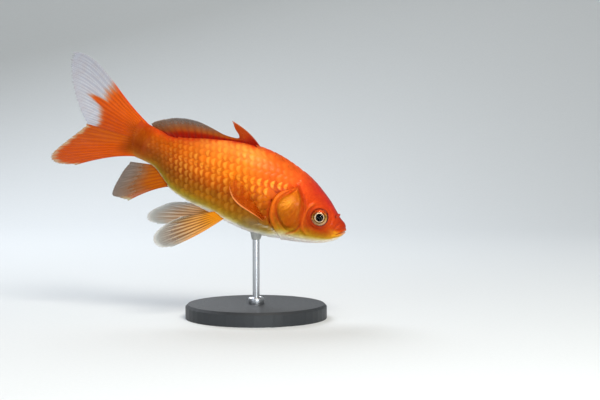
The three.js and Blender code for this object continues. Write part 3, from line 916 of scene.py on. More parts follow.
# ---- skin: one surface from the lips to the tail's root

skinGrid = {
    "around": 300, "snoutRings": 18, "endRings": 9, "lastRing": 96.6,
    "headStep": 0.2, "trunkStep": 0.75, "stalkStep": 0.45, "trunkFrom": [34.5, 46], "stalkFrom": [86, 92],
    "thinFrom": [92, 98], "thinBy": 0.66,      # it runs out between the tail's rays
    "lowerFrom": [94, 98], "lowerBy": 0.25,
}
gloss = {
    "skin": [0.10],
    "gill cover": [0.2, "onCover"],
    "throat": [0.12, ["back", "from", 12, 24], ["up", "from", -16, -8]],
}


def ringPlaces():
    snout = body["snoutRound"] * (1 - np.cos(np.linspace(0, math.pi / 2, skinGrid["snoutRings"])))
    places = list(snout)
    headStep, trunkStep, stalkStep = (skinGrid[name] for name in ("headStep", "trunkStep", "stalkStep"))
    while places[-1] < skinGrid["lastRing"]:
        step = headStep + (trunkStep - headStep) * float(ease(*skinGrid["trunkFrom"], places[-1]))
        step += (stalkStep - trunkStep) * float(ease(*skinGrid["stalkFrom"], places[-1]))
        places.append(places[-1] + step)
    last = places.pop()
    turns = np.linspace(0, math.pi / 2, skinGrid["endRings"])
    return np.array(places + list(last + (body["fleshEnd"] - last) * np.sin(turns)))


rings = ringPlaces()


def addSkin(finish):
    piece = newGrid("skin", len(rings) - 1, skinGrid["around"])
    flat = pointsOf(piece)
    number = np.clip(np.rint((flat[:, 0] + 1) / 2 * (len(rings) - 1)).astype(int), 0, len(rings) - 1)
    ring, turn = rings[number], -math.pi / 2 + (flat[:, 1] + 1) * math.pi
    back, up, side = surface(ring, turn)
    at = measuresOf(back, up, side)
    points = onBody(ring, turn, headRelief(at) - coat["depth"] * covered(at))
    thinner = 1 - skinGrid["thinBy"] * ease(*skinGrid["thinFrom"], ring)[:, None]
    lower = skinGrid["lowerBy"] * ease(*skinGrid["lowerFrom"], ring) * np.sin(turn)
    movePoints(piece, place(back, up - lower, 0.0) + (points - place(back, up, 0.0)) * thinner)
    mark(piece, "tint", "FLOAT_COLOR", asTint(marksShadeAndLight(at)))
    onCover = ease(-0.2, 0.6, 5.6 - np.hypot(back - 25.4, (up + 0.8) * 0.62))
    mark(piece, "shine", "FLOAT", np.clip(summed(gloss.values(), {**at, "onCover": onCover}), 0, 1))
    closeUp(piece, 60)
    print("skin:", len(piece.data.polygons), "faces")
    return dress(piece, finish, "skin", "head", "lower_jaw", "trunk", "tail_stalk",
                 "gill_cover_left", "gill_cover_right")


# ---- scales: one plate, modelled flat, then laid in rows over the skin

plate = {
    "across": 6, "lengthwise": 5, "thick": 0.08, "arc": 0.72, "rootWidth": 0.8,
    "rimDrop": 0.07,      # how far the rim bends down, where the middle is raised by crown
    "crown": 0.06,
    "patch": 0.003,       # its share of OFBake
}
rows = {
    "lateralLine": [[20, 9.6], [28.6, 7.7], [33, 6.6], [38.3, 5.3], [44, 4.1], [50, 2.9], [60, 1.5],
                    [72, 0.3], [85, -0.9], [98, -1.4]],
    "height": [[24, 3.1], [34, 3.4], [50, 3.4], [62, 3.1], [75, 2.5], [85, 2.05], [95, 1.8]],
    "pitch": [[22, 2.6], [45, 2.8], [60, 2.6], [75, 2.3], [92, 1.85]],
    "length": 2.25,       # of a plate, in pitches
    "width": 0.95,        # half of a plate, in row heights
    "uneven": 0.06,       # how much lengths and widths differ
    "first": 23.6,
    "last": 89.0,
    "underCover": 1.9,    # how far ahead of the gill line a root may lie
    "shoulderClear": 2.1, "middleBehind": 1.6,    # how near a plate's middle may come to the pectoral fin
    "numbers": [-16, 14],
    "middleRows": [[1, 24, 44.5], [1, 85, 89], [-1, 25, 73], [-1, 86.5, 89]],
    "middleWider": 1.35,
    "levels": [0, 0.3, 0.5, 0.7, 0.9, 1],          # from belly to back, for the next two
    "goldAndHighlight": [0.05, 0.3, 0.62, 0.6, 0.42, 0.25],   # the scales' own gold and a painted yellow highlight
    "gapPigmentAndShade": [0.1, 0.55, 0.95, 0.5, 0.2, 0.15],     # how much redder and darker the gaps are: pigment and painted shade
    "chance": 5,
}


def flatPlate():
    # across -1 to 1, along 0 at the root to 1 at the free edge; top side up
    nothingSelected()
    bpy.ops.mesh.primitive_grid_add(x_subdivisions=plate["across"], y_subdivisions=plate["lengthwise"],
                                    size=2)
    piece = bpy.context.object
    bpy.ops.object.mode_set(mode="EDIT")
    bpy.ops.mesh.select_all(action="DESELECT")
    bpy.ops.mesh.select_mode(type="EDGE")
    bpy.ops.mesh.select_non_manifold()
    bpy.ops.mesh.extrude_region_move(TRANSFORM_OT_translate={"value": (0, 0, -1)})
    bpy.ops.mesh.edge_face_add()
    bpy.ops.mesh.poke()
    bpy.ops.mesh.select_all(action="SELECT")
    bpy.ops.mesh.normals_make_consistent(inside=False)
    bpy.ops.object.mode_set(mode="OBJECT")
    flat = pointsOf(piece)
    faces = [list(face.vertices) for face in piece.data.polygons]
    nothingSelected()
    piece.select_set(True)
    bpy.ops.object.delete()
    across, lengthwise = flat[:, 0], (flat[:, 1] + 1) / 2
    under = flat[:, 2] < -0.5
    free = lengthwise ** 0.85
    spread = plate["rootWidth"] + (1 - plate["rootWidth"]) * np.sin(free * math.pi / 1.6)
    rounded = 1 - plate["arc"] * across ** 2 * free
    corner = 1 - 0.12 * ease(0.75, 1.0, free) * ease(0.6, 1.0, np.abs(across))
    return across * spread * corner, free * rounded, under, faces


def arcTable():
    # which turn a distance along the skin from the lateral line reaches, at many places behind the snout
    backs = np.arange(18, 101.01, 0.5)
    turns = np.radians(np.arange(-135, 135.01, 1.0))
    distances = np.arange(-45, 45.01, 0.25)
    table = np.zeros((len(backs), len(distances)))
    limits = np.zeros((len(backs), 2))
    for i, back in enumerate(backs):
        _, up, side = surface(np.full(len(turns), back), turns)
        run = np.concatenate([[0], np.cumsum(np.hypot(np.diff(up), np.diff(side)))])
        start = np.interp(along(rows["lateralLine"], back), up[45:226], run[45:226])
        table[i] = np.interp(distances, run - start, turns)
        limits[i] = run[45] - start, run[225] - start
    return backs, distances, table, limits


def turnAt(tables, back, distance):
    backs, distances, table, _ = tables
    i = np.clip((back - backs[0]) / 0.5, 0, len(backs) - 1.001)
    k = np.clip((distance - distances[0]) / 0.25, 0, len(distances) - 1.001)
    i0, k0 = i.astype(int), k.astype(int)
    alongShare, aroundShare = i - i0, k - k0
    first = table[i0, k0] * (1 - aroundShare) + table[i0, k0 + 1] * aroundShare
    second = table[i0 + 1, k0] * (1 - aroundShare) + table[i0 + 1, k0 + 1] * aroundShare
    return first * (1 - alongShare) + second * alongShare


def scaleRoots(tables, hand):
    # root's place behind the snout, row number, and 1 or -1 for a row on the middle line of back or belly
    backs, _, _, limits = tables
    fine = np.arange(rows["first"], rows["last"], 0.05)
    count = np.concatenate([[0], np.cumsum(0.05 / along(rows["pitch"], fine))])[:-1]
    roots = []
    lowest, highest = rows["numbers"]
    for row in range(lowest, highest + 1):
        steps = np.arange(0.5 * (row % 2), count[-1], 1.0)
        back = np.interp(steps, count, fine)
        height = along(rows["height"], back)
        low, high = (np.interp(back, backs, limits[:, k]) for k in range(2))
        kept = (low + 0.45 * height < row * height) & (row * height < high - 0.4 * height)
        roots += [(spot, row, 0) for spot in back[kept]]
    if hand > 0:
        steps = np.arange(0.25, count[-1], 1.0)
        for middle, start, stop in rows["middleRows"]:
            roots += [(spot, 0, middle) for spot in np.interp(steps, count, fine) if start < spot < stop]
    return np.array(roots).T


def rowCentre(tables, back, row, middle):
    # how far round from the lateral line a row's middle lies
    low, high = (np.interp(back, tables[0], tables[3][:, k]) for k in range(2))
    return np.where(middle > 0, high, np.where(middle < 0, low, row * along(rows["height"], back)))


def keptRoots(tables, hand):
    # the roots behind the gill opening and clear of the pectoral fin, and four draws for each scale
    back, row, middle = scaleRoots(tables, hand)
    up = surface(back, turnAt(tables, back, rowCentre(tables, back, row, middle)))[1]
    kept = back > gillBack(up) - rows["underCover"]
    kept &= shoulderAway(back + rows["middleBehind"], up) > rows["shoulderClear"]
    chance = np.random.default_rng(rows["chance"] + hand).random((4, kept.sum(), 1))
    return back[kept][:, None], row[kept][:, None], middle[kept][:, None], chance


def scaleHeight(across, lengthwise, under, back, middle):
    # how far each corner of a plate stands out of the body; at the tail's root the coat flattens out
    tail = 1 - ease(coat["tailFrom"], coat["tailTo"], back)
    lift = 0.10 + 0.86 * lengthwise ** 0.7
    rim = ease(0.8, 1.0, lengthwise / (1 - plate["arc"] * across ** 2)) + across ** 4
    crown = plate["crown"] * hump(lengthwise, 0.76, 0.22) * hump(across, 0, 0.45)
    height = 0.05 * (middle != 0) - (coat["depth"] * (1 - lift) + plate["rimDrop"] * rim - crown) * tail
    return height - plate["thick"] * under * (0.35 + 0.65 * tail) - 0.2 * ease(90.5, 93, back)


def scaleLook(at, row, middle, chance):
    # how much a scale's heart is gold and painted highlight, how much redder and darker its gaps are with
    # pigment and painted shade, and 1 on the lateral line
    onLine = (row == 0) & (middle == 0)
    upper = ((row > 0) | (middle > 0)) * ease(0.5, 0.6, at["height"])
    even = np.maximum(ease(52, 41, at["back"]) * upper, ease(74, 86, at["back"]))    # little relief shows
    # the lateral line's front scales take more of the gold and painted highlight
    lineLight = 0.5 * onLine * ease(50, 44, at["back"])
    goldAndHighlight, gapPigmentAndShade = (np.interp(at["height"], rows["levels"], rows[name]) for name in ("goldAndHighlight", "gapPigmentAndShade"))
    goldAndHighlight = goldAndHighlight * (0.3 + 1.2 * chance[2]) * (1 - 0.8 * even) * (1 + lineLight) + 0.3 * lineLight
    gapPigmentAndShade = gapPigmentAndShade * (0.75 + 0.5 * chance[1]) * (1 - 0.75 * even)
    return np.stack(np.broadcast_arrays(goldAndHighlight, gapPigmentAndShade, 1.0 * onLine), -1)


def scalePatches(across, lengthwise, back, turn):
    # each scale has one small patch of OFBake, at its root's place on an unwrap of the skin
    fromRoot = np.interp(back, rings, np.linspace(0, 1, len(rings)))
    fromBelly = (turn.mean(axis=1, keepdims=True) + math.pi / 2) % (2 * math.pi) / (2 * math.pi)
    patches = np.broadcast_arrays(fromRoot + across * plate["patch"] / 2,
                                  fromBelly + (lengthwise - 0.5) * plate["patch"])
    return np.clip(np.stack(patches, -1), 0, 1).reshape(-1, 2)


def setPatches(mesh, patches):
    loops = np.zeros(len(mesh.loops), int)
    mesh.loops.foreach_get("vertex_index", loops)
    mesh.uv_layers["OFBake"].data.foreach_set("uv", patches[loops].ravel())


def addScales(finish, hand, name):
    # hand is 1 on the left and -1 on the right; the rows on the middle line go with the left
    across, lengthwise, under, faces = flatPlate()
    tables = arcTable()
    root, row, middle, chance = keptRoots(tables, hand)
    long, wide = (1 - rows["uneven"] / 2 + rows["uneven"] * chance[k] for k in (0, 2))
    reach = along(rows["pitch"], root) * rows["length"] * long
    back = root + (lengthwise + 0.03 * (chance[1] - 0.5)) * reach
    half = rows["width"] * np.where(middle == 0, 1.0, rows["middleWider"]) * along(rows["height"], back)
    turn = turnAt(tables, back, rowCentre(tables, back, row, middle) + across * wide * half)
    if hand < 0:
        turn = math.pi - turn
    points = onBody(back, turn, scaleHeight(across, lengthwise, under, back, middle))
    facing = [face[::-hand] for face in faces]    # on the left flank a plate would be inside out
    starts = np.arange(len(root)) * len(across)
    mesh = bpy.data.meshes.new(name)
    mesh.from_pydata(points.reshape(-1, 3).tolist(), [],
                     [[int(start) + corner for corner in face] for start in starts for face in facing])
    piece = bpy.data.objects.new(name, mesh)
    bpy.context.scene.collection.objects.link(piece)
    mesh.uv_layers.new(name="OFBake")
    setPatches(mesh, scalePatches(across, lengthwise, root, turn))
    at = measuresOf(*surface(back, turn))
    tint = marksShadeAndLight(at) * (0.94 + 0.12 * chance[3])[..., None]
    mark(piece, "tint", "FLOAT_COLOR", asTint(np.clip(tint, 0, 1)))
    onScale = np.stack(np.broadcast_arrays(across, lengthwise, chance[0]), -1)
    mark(piece, "onScale", "FLOAT_VECTOR", onScale)
    mark(piece, "look", "FLOAT_VECTOR", scaleLook(at, row, middle, chance))
    nothingSelected()
    piece.select_set(True)
    bpy.context.view_layer.objects.active = piece
    bpy.ops.object.shade_smooth_by_angle(angle=math.radians(50))
    print(name + ":", len(root), "scales,", len(mesh.polygons), "faces")
    return dress(piece, finish, "skin")


# ---- eyes

eye = {
    "back": 12.8, "up": 1, "radius": 3.9, "depth": 2.6, "sunk": 1.2,
    "irisDrop": 0.42, "irisEdge": [3.62, 3.2],      # the iris lies sunk inside this edge
    "collarRise": 0.16, "collar": [2.0, 0.5],       # a low ring round the pupil
    "pupil": 1.58, "lensRise": 0.34, "corneaEdge": 3.75, "corneaWall": 0.045, "corneaLift": 0.02,
}


def eyeCentre(hand):
    side = hand * (float(flankAt(eye["back"], eye["up"])) - eye["sunk"])
    return place(eye["back"], eye["up"], side)


def faceUp(flat, hand):
    # from [across, up, out] in the eye's own millimetres to the world, nose down with the fish
    tilt = math.radians(pose["pitchDown"])
    x = flat[:, 0] * math.cos(tilt) + flat[:, 1] * math.sin(tilt)
    z = -flat[:, 0] * math.sin(tilt) + flat[:, 1] * math.cos(tilt)
    return np.stack([x, flat[:, 2] * hand, z], -1) * mm + eyeCentre(hand)


def newBall(name, rings):
    nothingSelected()
    bpy.ops.mesh.primitive_uv_sphere_add(segments=72, ring_count=rings, radius=1)
    piece = bpy.context.object
    piece.name = name
    return piece


def eyeOval(piece):
    return pointsOf(piece) * [eye["radius"], eye["radius"], eye["depth"]]


def addEyeBall(finish, hand, side):
    piece = newBall("eye_ball_" + side, 64)
    shape = eyeOval(piece)
    reach = np.hypot(shape[:, 0], shape[:, 1])
    iris = eye["irisDrop"] * ease(*eye["irisEdge"], reach)
    collar = eye["collarRise"] * hump(reach, *eye["collar"])
    lens = eye["lensRise"] * np.sqrt(np.clip(1 - (reach / eye["pupil"]) ** 2, 0, 1))
    shape[:, 2] -= np.where(shape[:, 2] > 0, iris - collar - lens, 0)
    movePoints(piece, faceUp(shape, hand))
    onEye = np.stack([shape[:, 0], shape[:, 1], np.full(len(reach), hand)], -1)
    mark(piece, "onEye", "FLOAT_VECTOR", onEye)
    closeUp(piece, 40)
    return dress(piece, finish, "eye", "eye_" + side)


def addCornea(finish, hand, side):
    piece = newBall("eye_cornea_" + side, 48)
    bpy.ops.object.mode_set(mode="EDIT")
    bpy.ops.mesh.select_all(action="SELECT")
    cut = math.sqrt(1 - (eye["corneaEdge"] / eye["radius"]) ** 2)
    bpy.ops.mesh.bisect(plane_co=(0, 0, cut), plane_no=(0, 0, 1), clear_inner=True, use_fill=False)
    bpy.ops.object.mode_set(mode="OBJECT")
    wall = piece.modifiers.new("wall", "SOLIDIFY")
    wall.thickness = eye["corneaWall"]
    wall.offset = -1
    bpy.ops.object.modifier_apply(modifier="wall")
    movePoints(piece, faceUp(eyeOval(piece) + [0, 0, eye["corneaLift"]], hand))
    closeUp(piece, 40)
    return dress(piece, finish, "eye")


# ---- fins: thin sheets with rays that fork towards the edge

fins = {
    "fin_tail_upper": {
        "node": "tail_fin_upper", "slot": "fin", "rays": 11, "rows": 64,
        "root": [[91.5, 5.8, 0], [95.6, 3.2, 0], [96.2, -0.6, 0]],
        "tips": [[143.8, 21, 1.5], [144.6, 17.8, 2], [142.6, 13.4, 2.2], [139, 9.2, 1.8],
                 [134.4, 5.3, 1.2], [129.6, 1.5, 0.6], [125.4, -1.8, 0.2], [121.8, -4.2, 0]],
        "bow": [-0.6, 4.5], "lean": 2.2, "bowed": "first", "wave": 0.9, "blend": 0.13},
    "fin_tail_lower": {
        "node": "tail_fin_lower", "slot": "fin", "rays": 10, "rows": 48,
        "root": [[96.2, -0.6, 0], [95.6, -4.4, 0], [91.5, -7.4, 0]],
        "tips": [[121.8, -4.2, 0], [123.8, -8.6, -0.2], [126.6, -13.8, -0.8], [129.3, -18.8, -1.6],
                 [131, -22.6, -2.3], [130.4, -25, -2.3], [126.4, -25.3, -1.9], [118, -22.2, -1.1]],
        "bow": [0.3, 2], "lean": 0.8, "bowed": "last", "wave": -0.7, "blend": 0.16},
    "fin_dorsal": {
        "node": "dorsal_fin", "slot": "fin", "rays": 22, "rows": 26,
        "root": [[46.5, 17.2, 0], [50, 16.9, 0], [53.5, 16.3, 0], [57, 15.4, 0], [61.5, 14, 0],
                 [67, 11.8, 0], [72.5, 9.4, 0], [78, 7.3, 0], [83, 6, 0], [91.8, 5.7, 0]],
        "tips": [[63.1, 22.9, 0.7], [60.8, 20.4, 0.5], [57.7, 18.3, 0.3], [58, 17, 0.1],
                 [63.6, 16.2, 0.3], [70, 16.7, 0.9], [77.4, 16.7, 1.3], [85.6, 14.4, 1.4],
                 [92.6, 9.9, 0.7], [94.4, 7.6, 0.3]],
        "bow": [-0.6, 1.1], "lean": 1, "bowed": "first", "wave": 0.4},
    "fin_anal": {
        "node": "anal_fin", "slot": "fin", "rays": 8, "rows": 40,
        "root": [[75, -13.2, 0], [78.5, -11.3, 0], [82, -9.2, 0], [85.6, -7.7, 0]],
        "tips": [[89.7, -26.3, -0.8], [94, -27, -1], [97.6, -27.3, -1.2], [98.3, -23.6, -0.6],
                 [97.9, -19.4, -0.2], [97.4, -15.4, 0.1], [96.2, -10.9, 0.3]],
        "bow": [0.7, 0.9], "lean": 0.8, "bowed": "first", "wave": 0.5},
    "fin_pelvic_right": {
        "node": "pelvic_fin_right", "slot": "fin_pale", "rays": 8, "rows": 44,
        "root": [[49, -16, -2.6], [51, -15.2, -3], [53.2, -14.4, -3.2]],
        "tips": [[63.6, -35.6, -9], [68, -37.8, -10], [71.3, -36.8, -10], [72.1, -33.4, -9.4],
                 [70, -28.2, -7.6], [65.6, -22.6, -5]],
        "bow": [-0.3, -0.6], "lean": 1, "bowed": "first", "wave": 0.5},
    "fin_pelvic_left": {
        "node": "pelvic_fin_left", "slot": "fin_pale", "rays": 8, "rows": 44,
        "root": [[49, -16, 2.6], [51, -15.2, 3], [53.4, -14.6, 3.2]],
        "tips": [[76, -31, 8.6], [81.4, -31.6, 9.6], [82.6, -28.6, 9.6], [79.4, -24.4, 9],
                 [74.4, -20, 7.4], [68, -17, 5.6]],
        "bow": [-0.2, -0.6], "lean": 1, "bowed": "first", "wave": -0.5},
}
pectoral = {
    "root": [[32.1, -10.6, -0.5], [32.5, -9.6, -0.5], [33.2, -8.5, -0.6]],
    "tips": [[52, -1.4, 4.6], [52.6, 0.6, 4.4], [51, 2.2, 3.7], [47, 1, 2.7], [42.2, -2.2, 1.8],
             [38, -5.4, 1.1]],
    "bow": [0.9, -2.8], "lean": 1.95, "bowed": "first", "wave": 0}
for side, hand in (("left", 1), ("right", -1)):
    fins["fin_pectoral_" + side] = {**pectoral, "node": "pectoral_fin_" + side, "slot": "fin", "rays": 12,
                                    "rows": 40, "hand": hand}
finBuild = {
    "perRay": 12, "scallop": 0.022, "fray": 0.012,
    "membrane": [0.05, 0.14], "ray": [0.05, 0.17],    # half thickness at the edge and at the root
}


def finPlaces(fin, ray, reach):
    root, tip = pointOn(fin["root"], ray), pointOn(fin["tips"], ray)
    bowed = (ray if fin["bowed"] == "last" else 1 - ray) ** 2
    leaned = reach ** fin["lean"]
    arch = 4 * leaned * (1 - leaned) * bowed
    ripple = fin["wave"] * np.sin(2 * math.pi * ray) * reach ** 2
    back = root[0] + (tip[0] - root[0]) * reach + arch * fin["bow"][0]
    up = root[1] + (tip[1] - root[1]) * reach + arch * fin["bow"][1]
    return back, up, root[2] + (tip[2] - root[2]) * reach + ripple


def rayBead(fin, ray, reach):
    # 1 on a ray and 0 between; rays fork once past a third of the way and again near the edge
    number = np.rint(ray * fin["rays"])
    off = ray * fin["rays"] - number
    first = 0.25 * ease(0.34, 0.95, reach)
    second = 0.115 * ease(0.66, 1.0, reach)
    edge = (number < 0.5) | (number > fin["rays"] - 0.5)
    bead = np.zeros(ray.shape)
    thin = 0.24 - 0.165 * reach
    for a in (-1, 1):
        for b in (-1, 1):
            bead = np.maximum(bead, hump(off, a * first + b * second, thin))
    return np.where(edge, hump(off, 0, 0.42 - 0.12 * reach), bead)


# ---- the fins' colours: marks over a base, and solid, how much the fin hides what is behind it

whiteFrom = [[0, 0.45], [0.06, 0.47], [0.12, 0.475], [0.225, 0.5], [0.33, 0.5], [0.41, 0.54],
             [0.455, 0.68], [0.48, 0.74], [0.52, 0.72], [0.56, 0.62], [0.65, 0.6], [0.75, 0.64],
             [0.845, 0.67], [0.95, 0.75], [1, 0.8]]    # how far out the upper tail fin turns white
finLooks = {
    "fin_tail_upper": {
        "base": "#d85a08",
        "marks": {
            "lower rays": ["#b04000", 0.6, ["ray", "from", 0.25, 0.75]],
            "root": ["#9c4000", 1, ["reach", "from", 0.3, 0.08], ["ray", "from", 0.1, 0.8]],
            "rays": ["#982e02", 0.3, "bead", ["reach", "from", 0.1, 0.4]],
            "white": ["#b4bccb", 0.97, "white"],
            "white rays": ["#d6dae2", 0.5, "white", "bead"],
            "red leading edge": ["#ee4a1c", 0.8, ["ray", "about", 0, 0.04],
                                 ["reach", "from", 0.56, 0.46]],
        },
        "solid": [[0.998], [-0.02, "reach"], [-0.14, "white"], [0.1, "bead", "white"]],
    },
    "fin_tail_lower": {
        "base": "#c85000",
        "marks": {
            "upper rays": ["#b45604", 0.6, ["ray", "from", 0.5, 0.1]],
            "root": ["#8a3800", 1, ["reach", "from", 0.3, 0.08], ["ray", "from", 1, 0.5]],
            "rays": ["#982e02", 0.3, "bead", ["reach", "from", 0.1, 0.4]],
            "pale rim": ["#c0b48c", 0.8, "pale"],
        },
        "solid": [[0.998], [-0.02, "reach"], [-0.18, "pale"], [0.1, "bead", "pale"]],
    },
    "fin_dorsal": {
        # the dark red that shows along the root is partly the fin's colour and partly painted shade where
        # the fin meets the back
        "base": "#880a00",
        "marks": {
            "brown": ["#9c4602", 1, ["reach", "from", 0.22, 0.5], ["ray", "from", 0.15, 0.4]],
            "last rays": ["#6c3a10", 0.9, "last", ["reach", "from", 0.1, 0.5]],
            "grey": ["#545a60", 1, "folded", "lastPaler"],
            "spike": ["#aa4002", 0.9, ["ray", "from", 0.3, 0.2], ["reach", "from", 0.1, 0.6]],
            "pale edges": ["#e0ccc4", 1, "edges"],
            "rays": ["#641200", 0.2, "bead", "unfolded"],
        },
        "solid": [[0.998], [-0.1, "folded"], [0.05, "bead", "folded"]],
    },
    "fin_anal": {
        "base": "#ac5400",
        "marks": {
            "brown": ["#984e00", 1, ["reach", "from", 0.3, 0.6], ["ray", "from", 0.1, 0.3]],
            "grey": ["#64584e", 0.95, "shaded"],
            "pale corner": ["#a8a27c", 1, ["reach", "from", 0.86, 0.97], ["ray", "from", 0.26, 0.05]],
            "rays": ["#8a3400", 0.4, "bead", "unshaded", ["reach", "from", 0.9, 0.3]],
        },
        "solid": [[0.998], [-0.14, "thin"], [0.08, "bead", "thin"]],
    },
}
# the far left pelvic fin is painted lighter than the near right one, with fainter rays and a paler tip:
# painted light against the shade it lies in
for side, middle, tip, dark in (("right", "#d49a50", "#808c8c", 0.75),
                                ("left", "#f0bc84", "#94a09e", 0.42)):
    finLooks["fin_pelvic_" + side] = {
        "base": "#de8c10",
        "marks": {
            "middle": [middle, 1, ["reach", "from", 0.12, 0.4]],
            "tip": [tip, 0.92, ["raggedReach", "from", 0.35, 1]],
            "first ray": ["#d8923c", 1, ["ray", "about", 0, 0.11], ["reach", "from", 0.98, 0.5]],
            "rays": ["#56300e", dark, "bead", ["ray", "from", 0.06, 0.22], ["reach", "from", 0.04, 0.3],
                     ["reach", "from", 1, 0.7]],
            "pale rim": ["#eeeee8", 0.7, ["reach", "about", 1, 0.05]],
        },
        "solid": [[0.98], [-0.22, ["reach", "from", 0.3, 0.95]], [0.12, "bead"]],
    }
    finLooks["fin_pectoral_" + side] = {
        "base": "#ce5004",
        "marks": {
            "upper rays": ["#be4800", 1, ["ray", "from", 0.2, 0.8]],
            "rays": ["#983000", 0.25, "bead"],
            # the first ray: its own pale colour, and a painted highlight where it catches the light
            "first ray": ["#f4a060", 1, ["ray", "about", 0, 0.06]],
        },
        "solid": [[0.66, ["ray", "from", 1, 0.5]], [-0.3, ["reach", "from", 0.3, 1],
                  ["ray", "from", 1, 0.5]],
                  [0.1, "bead", ["ray", "from", 1, 0.8]], [0.6, ["ray", "about", 0, 0.06]]],
    }


def finMeasures(ray, reach, bead):
    # what the fins' tables of marks ask for
    ragged = 0.035 * np.sin(ray * 61 + reach * 5) + 0.03 * np.sin(ray * 143 + 1.7)
    ragged = ragged + 0.02 * np.sin(ray * 29 + reach * 17)
    edge = along(whiteFrom, ray)
    last = ease(0.78, 0.92, ray)
    folded = ease(0.3, 1.1, reach) * ease(0.36, 0.68, ray)
    rear = ease(0.25, 0.8, ray)
    shaded = ease(0.2, 1.15, reach + 0.25 * rear) * ease(0.0, 0.25, ray)
    return {
        "ray": ray, "reach": reach, "bead": bead, "raggedReach": reach + ragged * 0.1,
        "white": ease(edge - 0.06, edge + 0.09, reach + ragged * 0.3),
        "pale": ease(0.9, 1.0, reach + ragged * 0.5),
        "last": last, "lastPaler": 0.97 - 0.45 * last,
        "folded": folded, "unfolded": 1 - folded,
        "edges": hump(ray, 0, 0.014) * 0.8 + hump(reach, 1, 0.03) * 0.35,
        "shaded": shaded, "unshaded": 1 - shaded,
        "thin": ease(0.3, 0.95, reach + 0.15 * rear),
    }


def finPaint(look, ray, reach, bead):
    # display colour and how much the fin hides what is behind it
    at = finMeasures(ray, reach, bead)
    plain = np.broadcast_to(display(look["base"]), ray.shape + (3,))
    colour = painted(plain, look["marks"].values(), at)
    return np.clip(colour, 0, 1), np.clip(summed(look["solid"], at), 0.05, 0.998)


def frayed(fin, ray, reach):
    # rays end in a scalloped, frayed edge, but not at the fin's first and last ray
    fray = np.sin(ray * 217.0) * np.sin(ray * 91.0 + 0.7) * np.sin(ray * 37.0 + 2.0)
    tipBead = rayBead(fin, ray, np.ones(ray.shape))
    shorter = finBuild["scallop"] * (1 - tipBead) + finBuild["fray"] * (1 - fray)
    shorter = shorter * ease(0.0, 0.03, ray) * ease(1.0, 0.97, ray)
    return reach * (1 - shorter * ease(0.5, 1.0, reach))


def halfThickness(ray, reach, bead, columns):
    sizes = (finBuild["membrane"], finBuild["ray"])
    membrane, rib = (root + (edge - root) * reach for edge, root in sizes)
    border = ease(0.0, 2.0, np.minimum(ray, 1 - ray) * columns)
    return (membrane + rib * bead) * (1 - 0.7 * ease(0.985, 1.0, reach)) * (0.4 + 0.6 * border)


def addFin(name, fin, finish):
    columns = fin["rays"] * finBuild["perRay"]
    piece = newGrid(name, columns, fin["rows"], twoSided=True)
    flat = pointsOf(piece)
    ray, reach = (flat[:, 0] + 1) / 2, (flat[:, 1] + 1) / 2
    face = np.where(flat[:, 2] < -0.5, -1.0, 1.0)
    bead = rayBead(fin, ray, reach)
    back, up, side = finPlaces(fin, ray, frayed(fin, ray, reach))
    out = side + halfThickness(ray, reach, bead, columns) * face
    if "hand" in fin:     # it stands off its own flank
        out = fin["hand"] * (flankAt(back, up) + out)
    colour, solid = finPaint(finLooks[name], ray, reach, bead)
    if "blend" in fin:    # the root takes the body's own colours
        colour = mixed(colour, marksShadeAndLight(measuresOf(back, up, side)), ease(fin["blend"], 0.02, reach))
    each = 1 - np.sqrt(1 - solid)     # of its two faces
    setPatches(piece.data, np.stack([ray * 0.49 + np.where(face > 0, 0.0, 0.51), reach], -1))
    movePoints(piece, place(back, up, out))
    mark(piece, "tint", "FLOAT_COLOR", asTint(colour, each))
    mark(piece, "onFin", "FLOAT_VECTOR", np.stack([ray, reach, bead], -1))
    closeUp(piece, 70)
    print(name + ":", len(piece.data.polygons), "faces")
    return dress(piece, finish, fin["slot"], fin["node"])


# ---- stand

stand = {
    "collarRadius": 3.4, "collarHeight": 2.6, "collarSunk": 0.2, "collarBevel": [0.18, 20],
    "collarSteps": [[0.9, 0.5], [0.5, -0.3]],    # how far each inset goes in, and up
    "padRadius": 2.5, "padHeight": 2.6, "padInto": 0.35, "padFoot": 0.72, "padBevel": [0.2, 50],
    "padRings": 4, "padRing": 0.5,
}


def newRound(name, radius, low, high, sides):
    nothingSelected()
    bpy.ops.mesh.primitive_cylinder_add(vertices=sides, radius=radius * mm, depth=(high - low) * mm,
                                        location=(0, 0, (low + high) / 2 * mm))
    piece = bpy.context.object
    piece.name = name
    settle(piece)
    return piece


def bevel(piece, width, degrees):
    edge = piece.modifiers.new("edge", "BEVEL")
    edge.width = width * mm
    edge.segments = 3
    edge.limit_method = "ANGLE"
    edge.angle_limit = math.radians(degrees)
    bpy.ops.object.modifier_apply(modifier="edge")


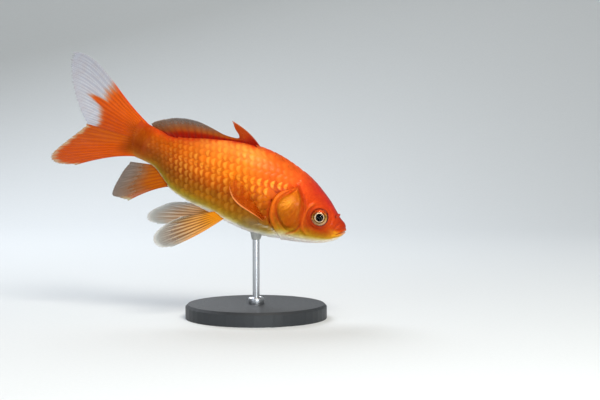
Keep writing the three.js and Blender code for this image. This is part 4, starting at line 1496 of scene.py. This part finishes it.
def addCollar(finish):
    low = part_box("stand_base")[1].z / mm - stand["collarSunk"]
    top = low + stand["collarHeight"]
    piece = newRound("stand_collar", stand["collarRadius"], low, top, 64)
    select(piece, "FACE", lambda middle: middle.z > top - 0.01)
    for inward, rise in stand["collarSteps"]:
        bpy.ops.mesh.inset(thickness=inward * mm)
        bpy.ops.transform.translate(value=(0, 0, rise * mm))
    settle(piece)
    bevel(piece, *stand["collarBevel"])
    closeUp(piece, 40)
    return dress(piece, finish, "stand_rod")


def addPad(finish, skin):
    # pressed from below onto the belly, which its top follows
    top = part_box("stand_rod")[1].z / mm
    low = top - stand["padHeight"]
    piece = newRound("stand_pad", stand["padRadius"], low, top, 48)
    select(piece, "FACE", lambda middle: middle.z > top - 0.01)
    for _ in range(stand["padRings"]):
        bpy.ops.mesh.inset(thickness=stand["padRing"] * mm)
    settle(piece)
    select(piece, "FACE", lambda middle: middle.z < low + 0.01)
    bpy.ops.transform.resize(value=(stand["padFoot"], stand["padFoot"], 1), center_override=(0, 0, 0))
    settle(piece)
    points = pointsOf(piece)
    for point in points:
        if point[2] / mm > top - 0.01:
            belly = skin.ray_cast(Vector((point[0], point[1], 0.01)), Vector((0, 0, 1)))[1]
            point[2] = belly.z - (coat["depth"] - stand["padInto"]) * mm
    movePoints(piece, points)
    bevel(piece, *stand["padBevel"])
    closeUp(piece, 45)
    return dress(piece, finish, "stand_rod")


def finishNode(name, finish):
    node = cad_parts[name]
    if node.data.materials:
        node.data.materials[0] = finish
    else:
        node.data.materials.append(finish)


# ---- all of it

bpy.context.scene.view_settings.view_transform = "Standard"
addCamera()
addLights()
addFloor()
print("stage ready")
skin = addSkin(skinFinish())
scales = scaleFinish()
addScales(scales, 1, "scale_coat_left")
addScales(scales, -1, "scale_coat_right")
iris, clear = eyeFinish(), clearFinish()
for side, hand in (("left", 1), ("right", -1)):
    addEyeBall(iris, hand, side)
    addCornea(clear, hand, side)
print("eyes ready")
finFinishes = {"fin": finFinish("fish_fin"), "fin_pale": finFinish("fish_fin_pale", 0.36)}
for name, fin in fins.items():
    addFin(name, fin, finFinishes[fin["slot"]])
steel = steelFinish()
finishNode("stand_base", paintFinish())
finishNode("stand_rod", steel)
addCollar(steel)
addPad(padFinish(), skin)
print("stand ready")
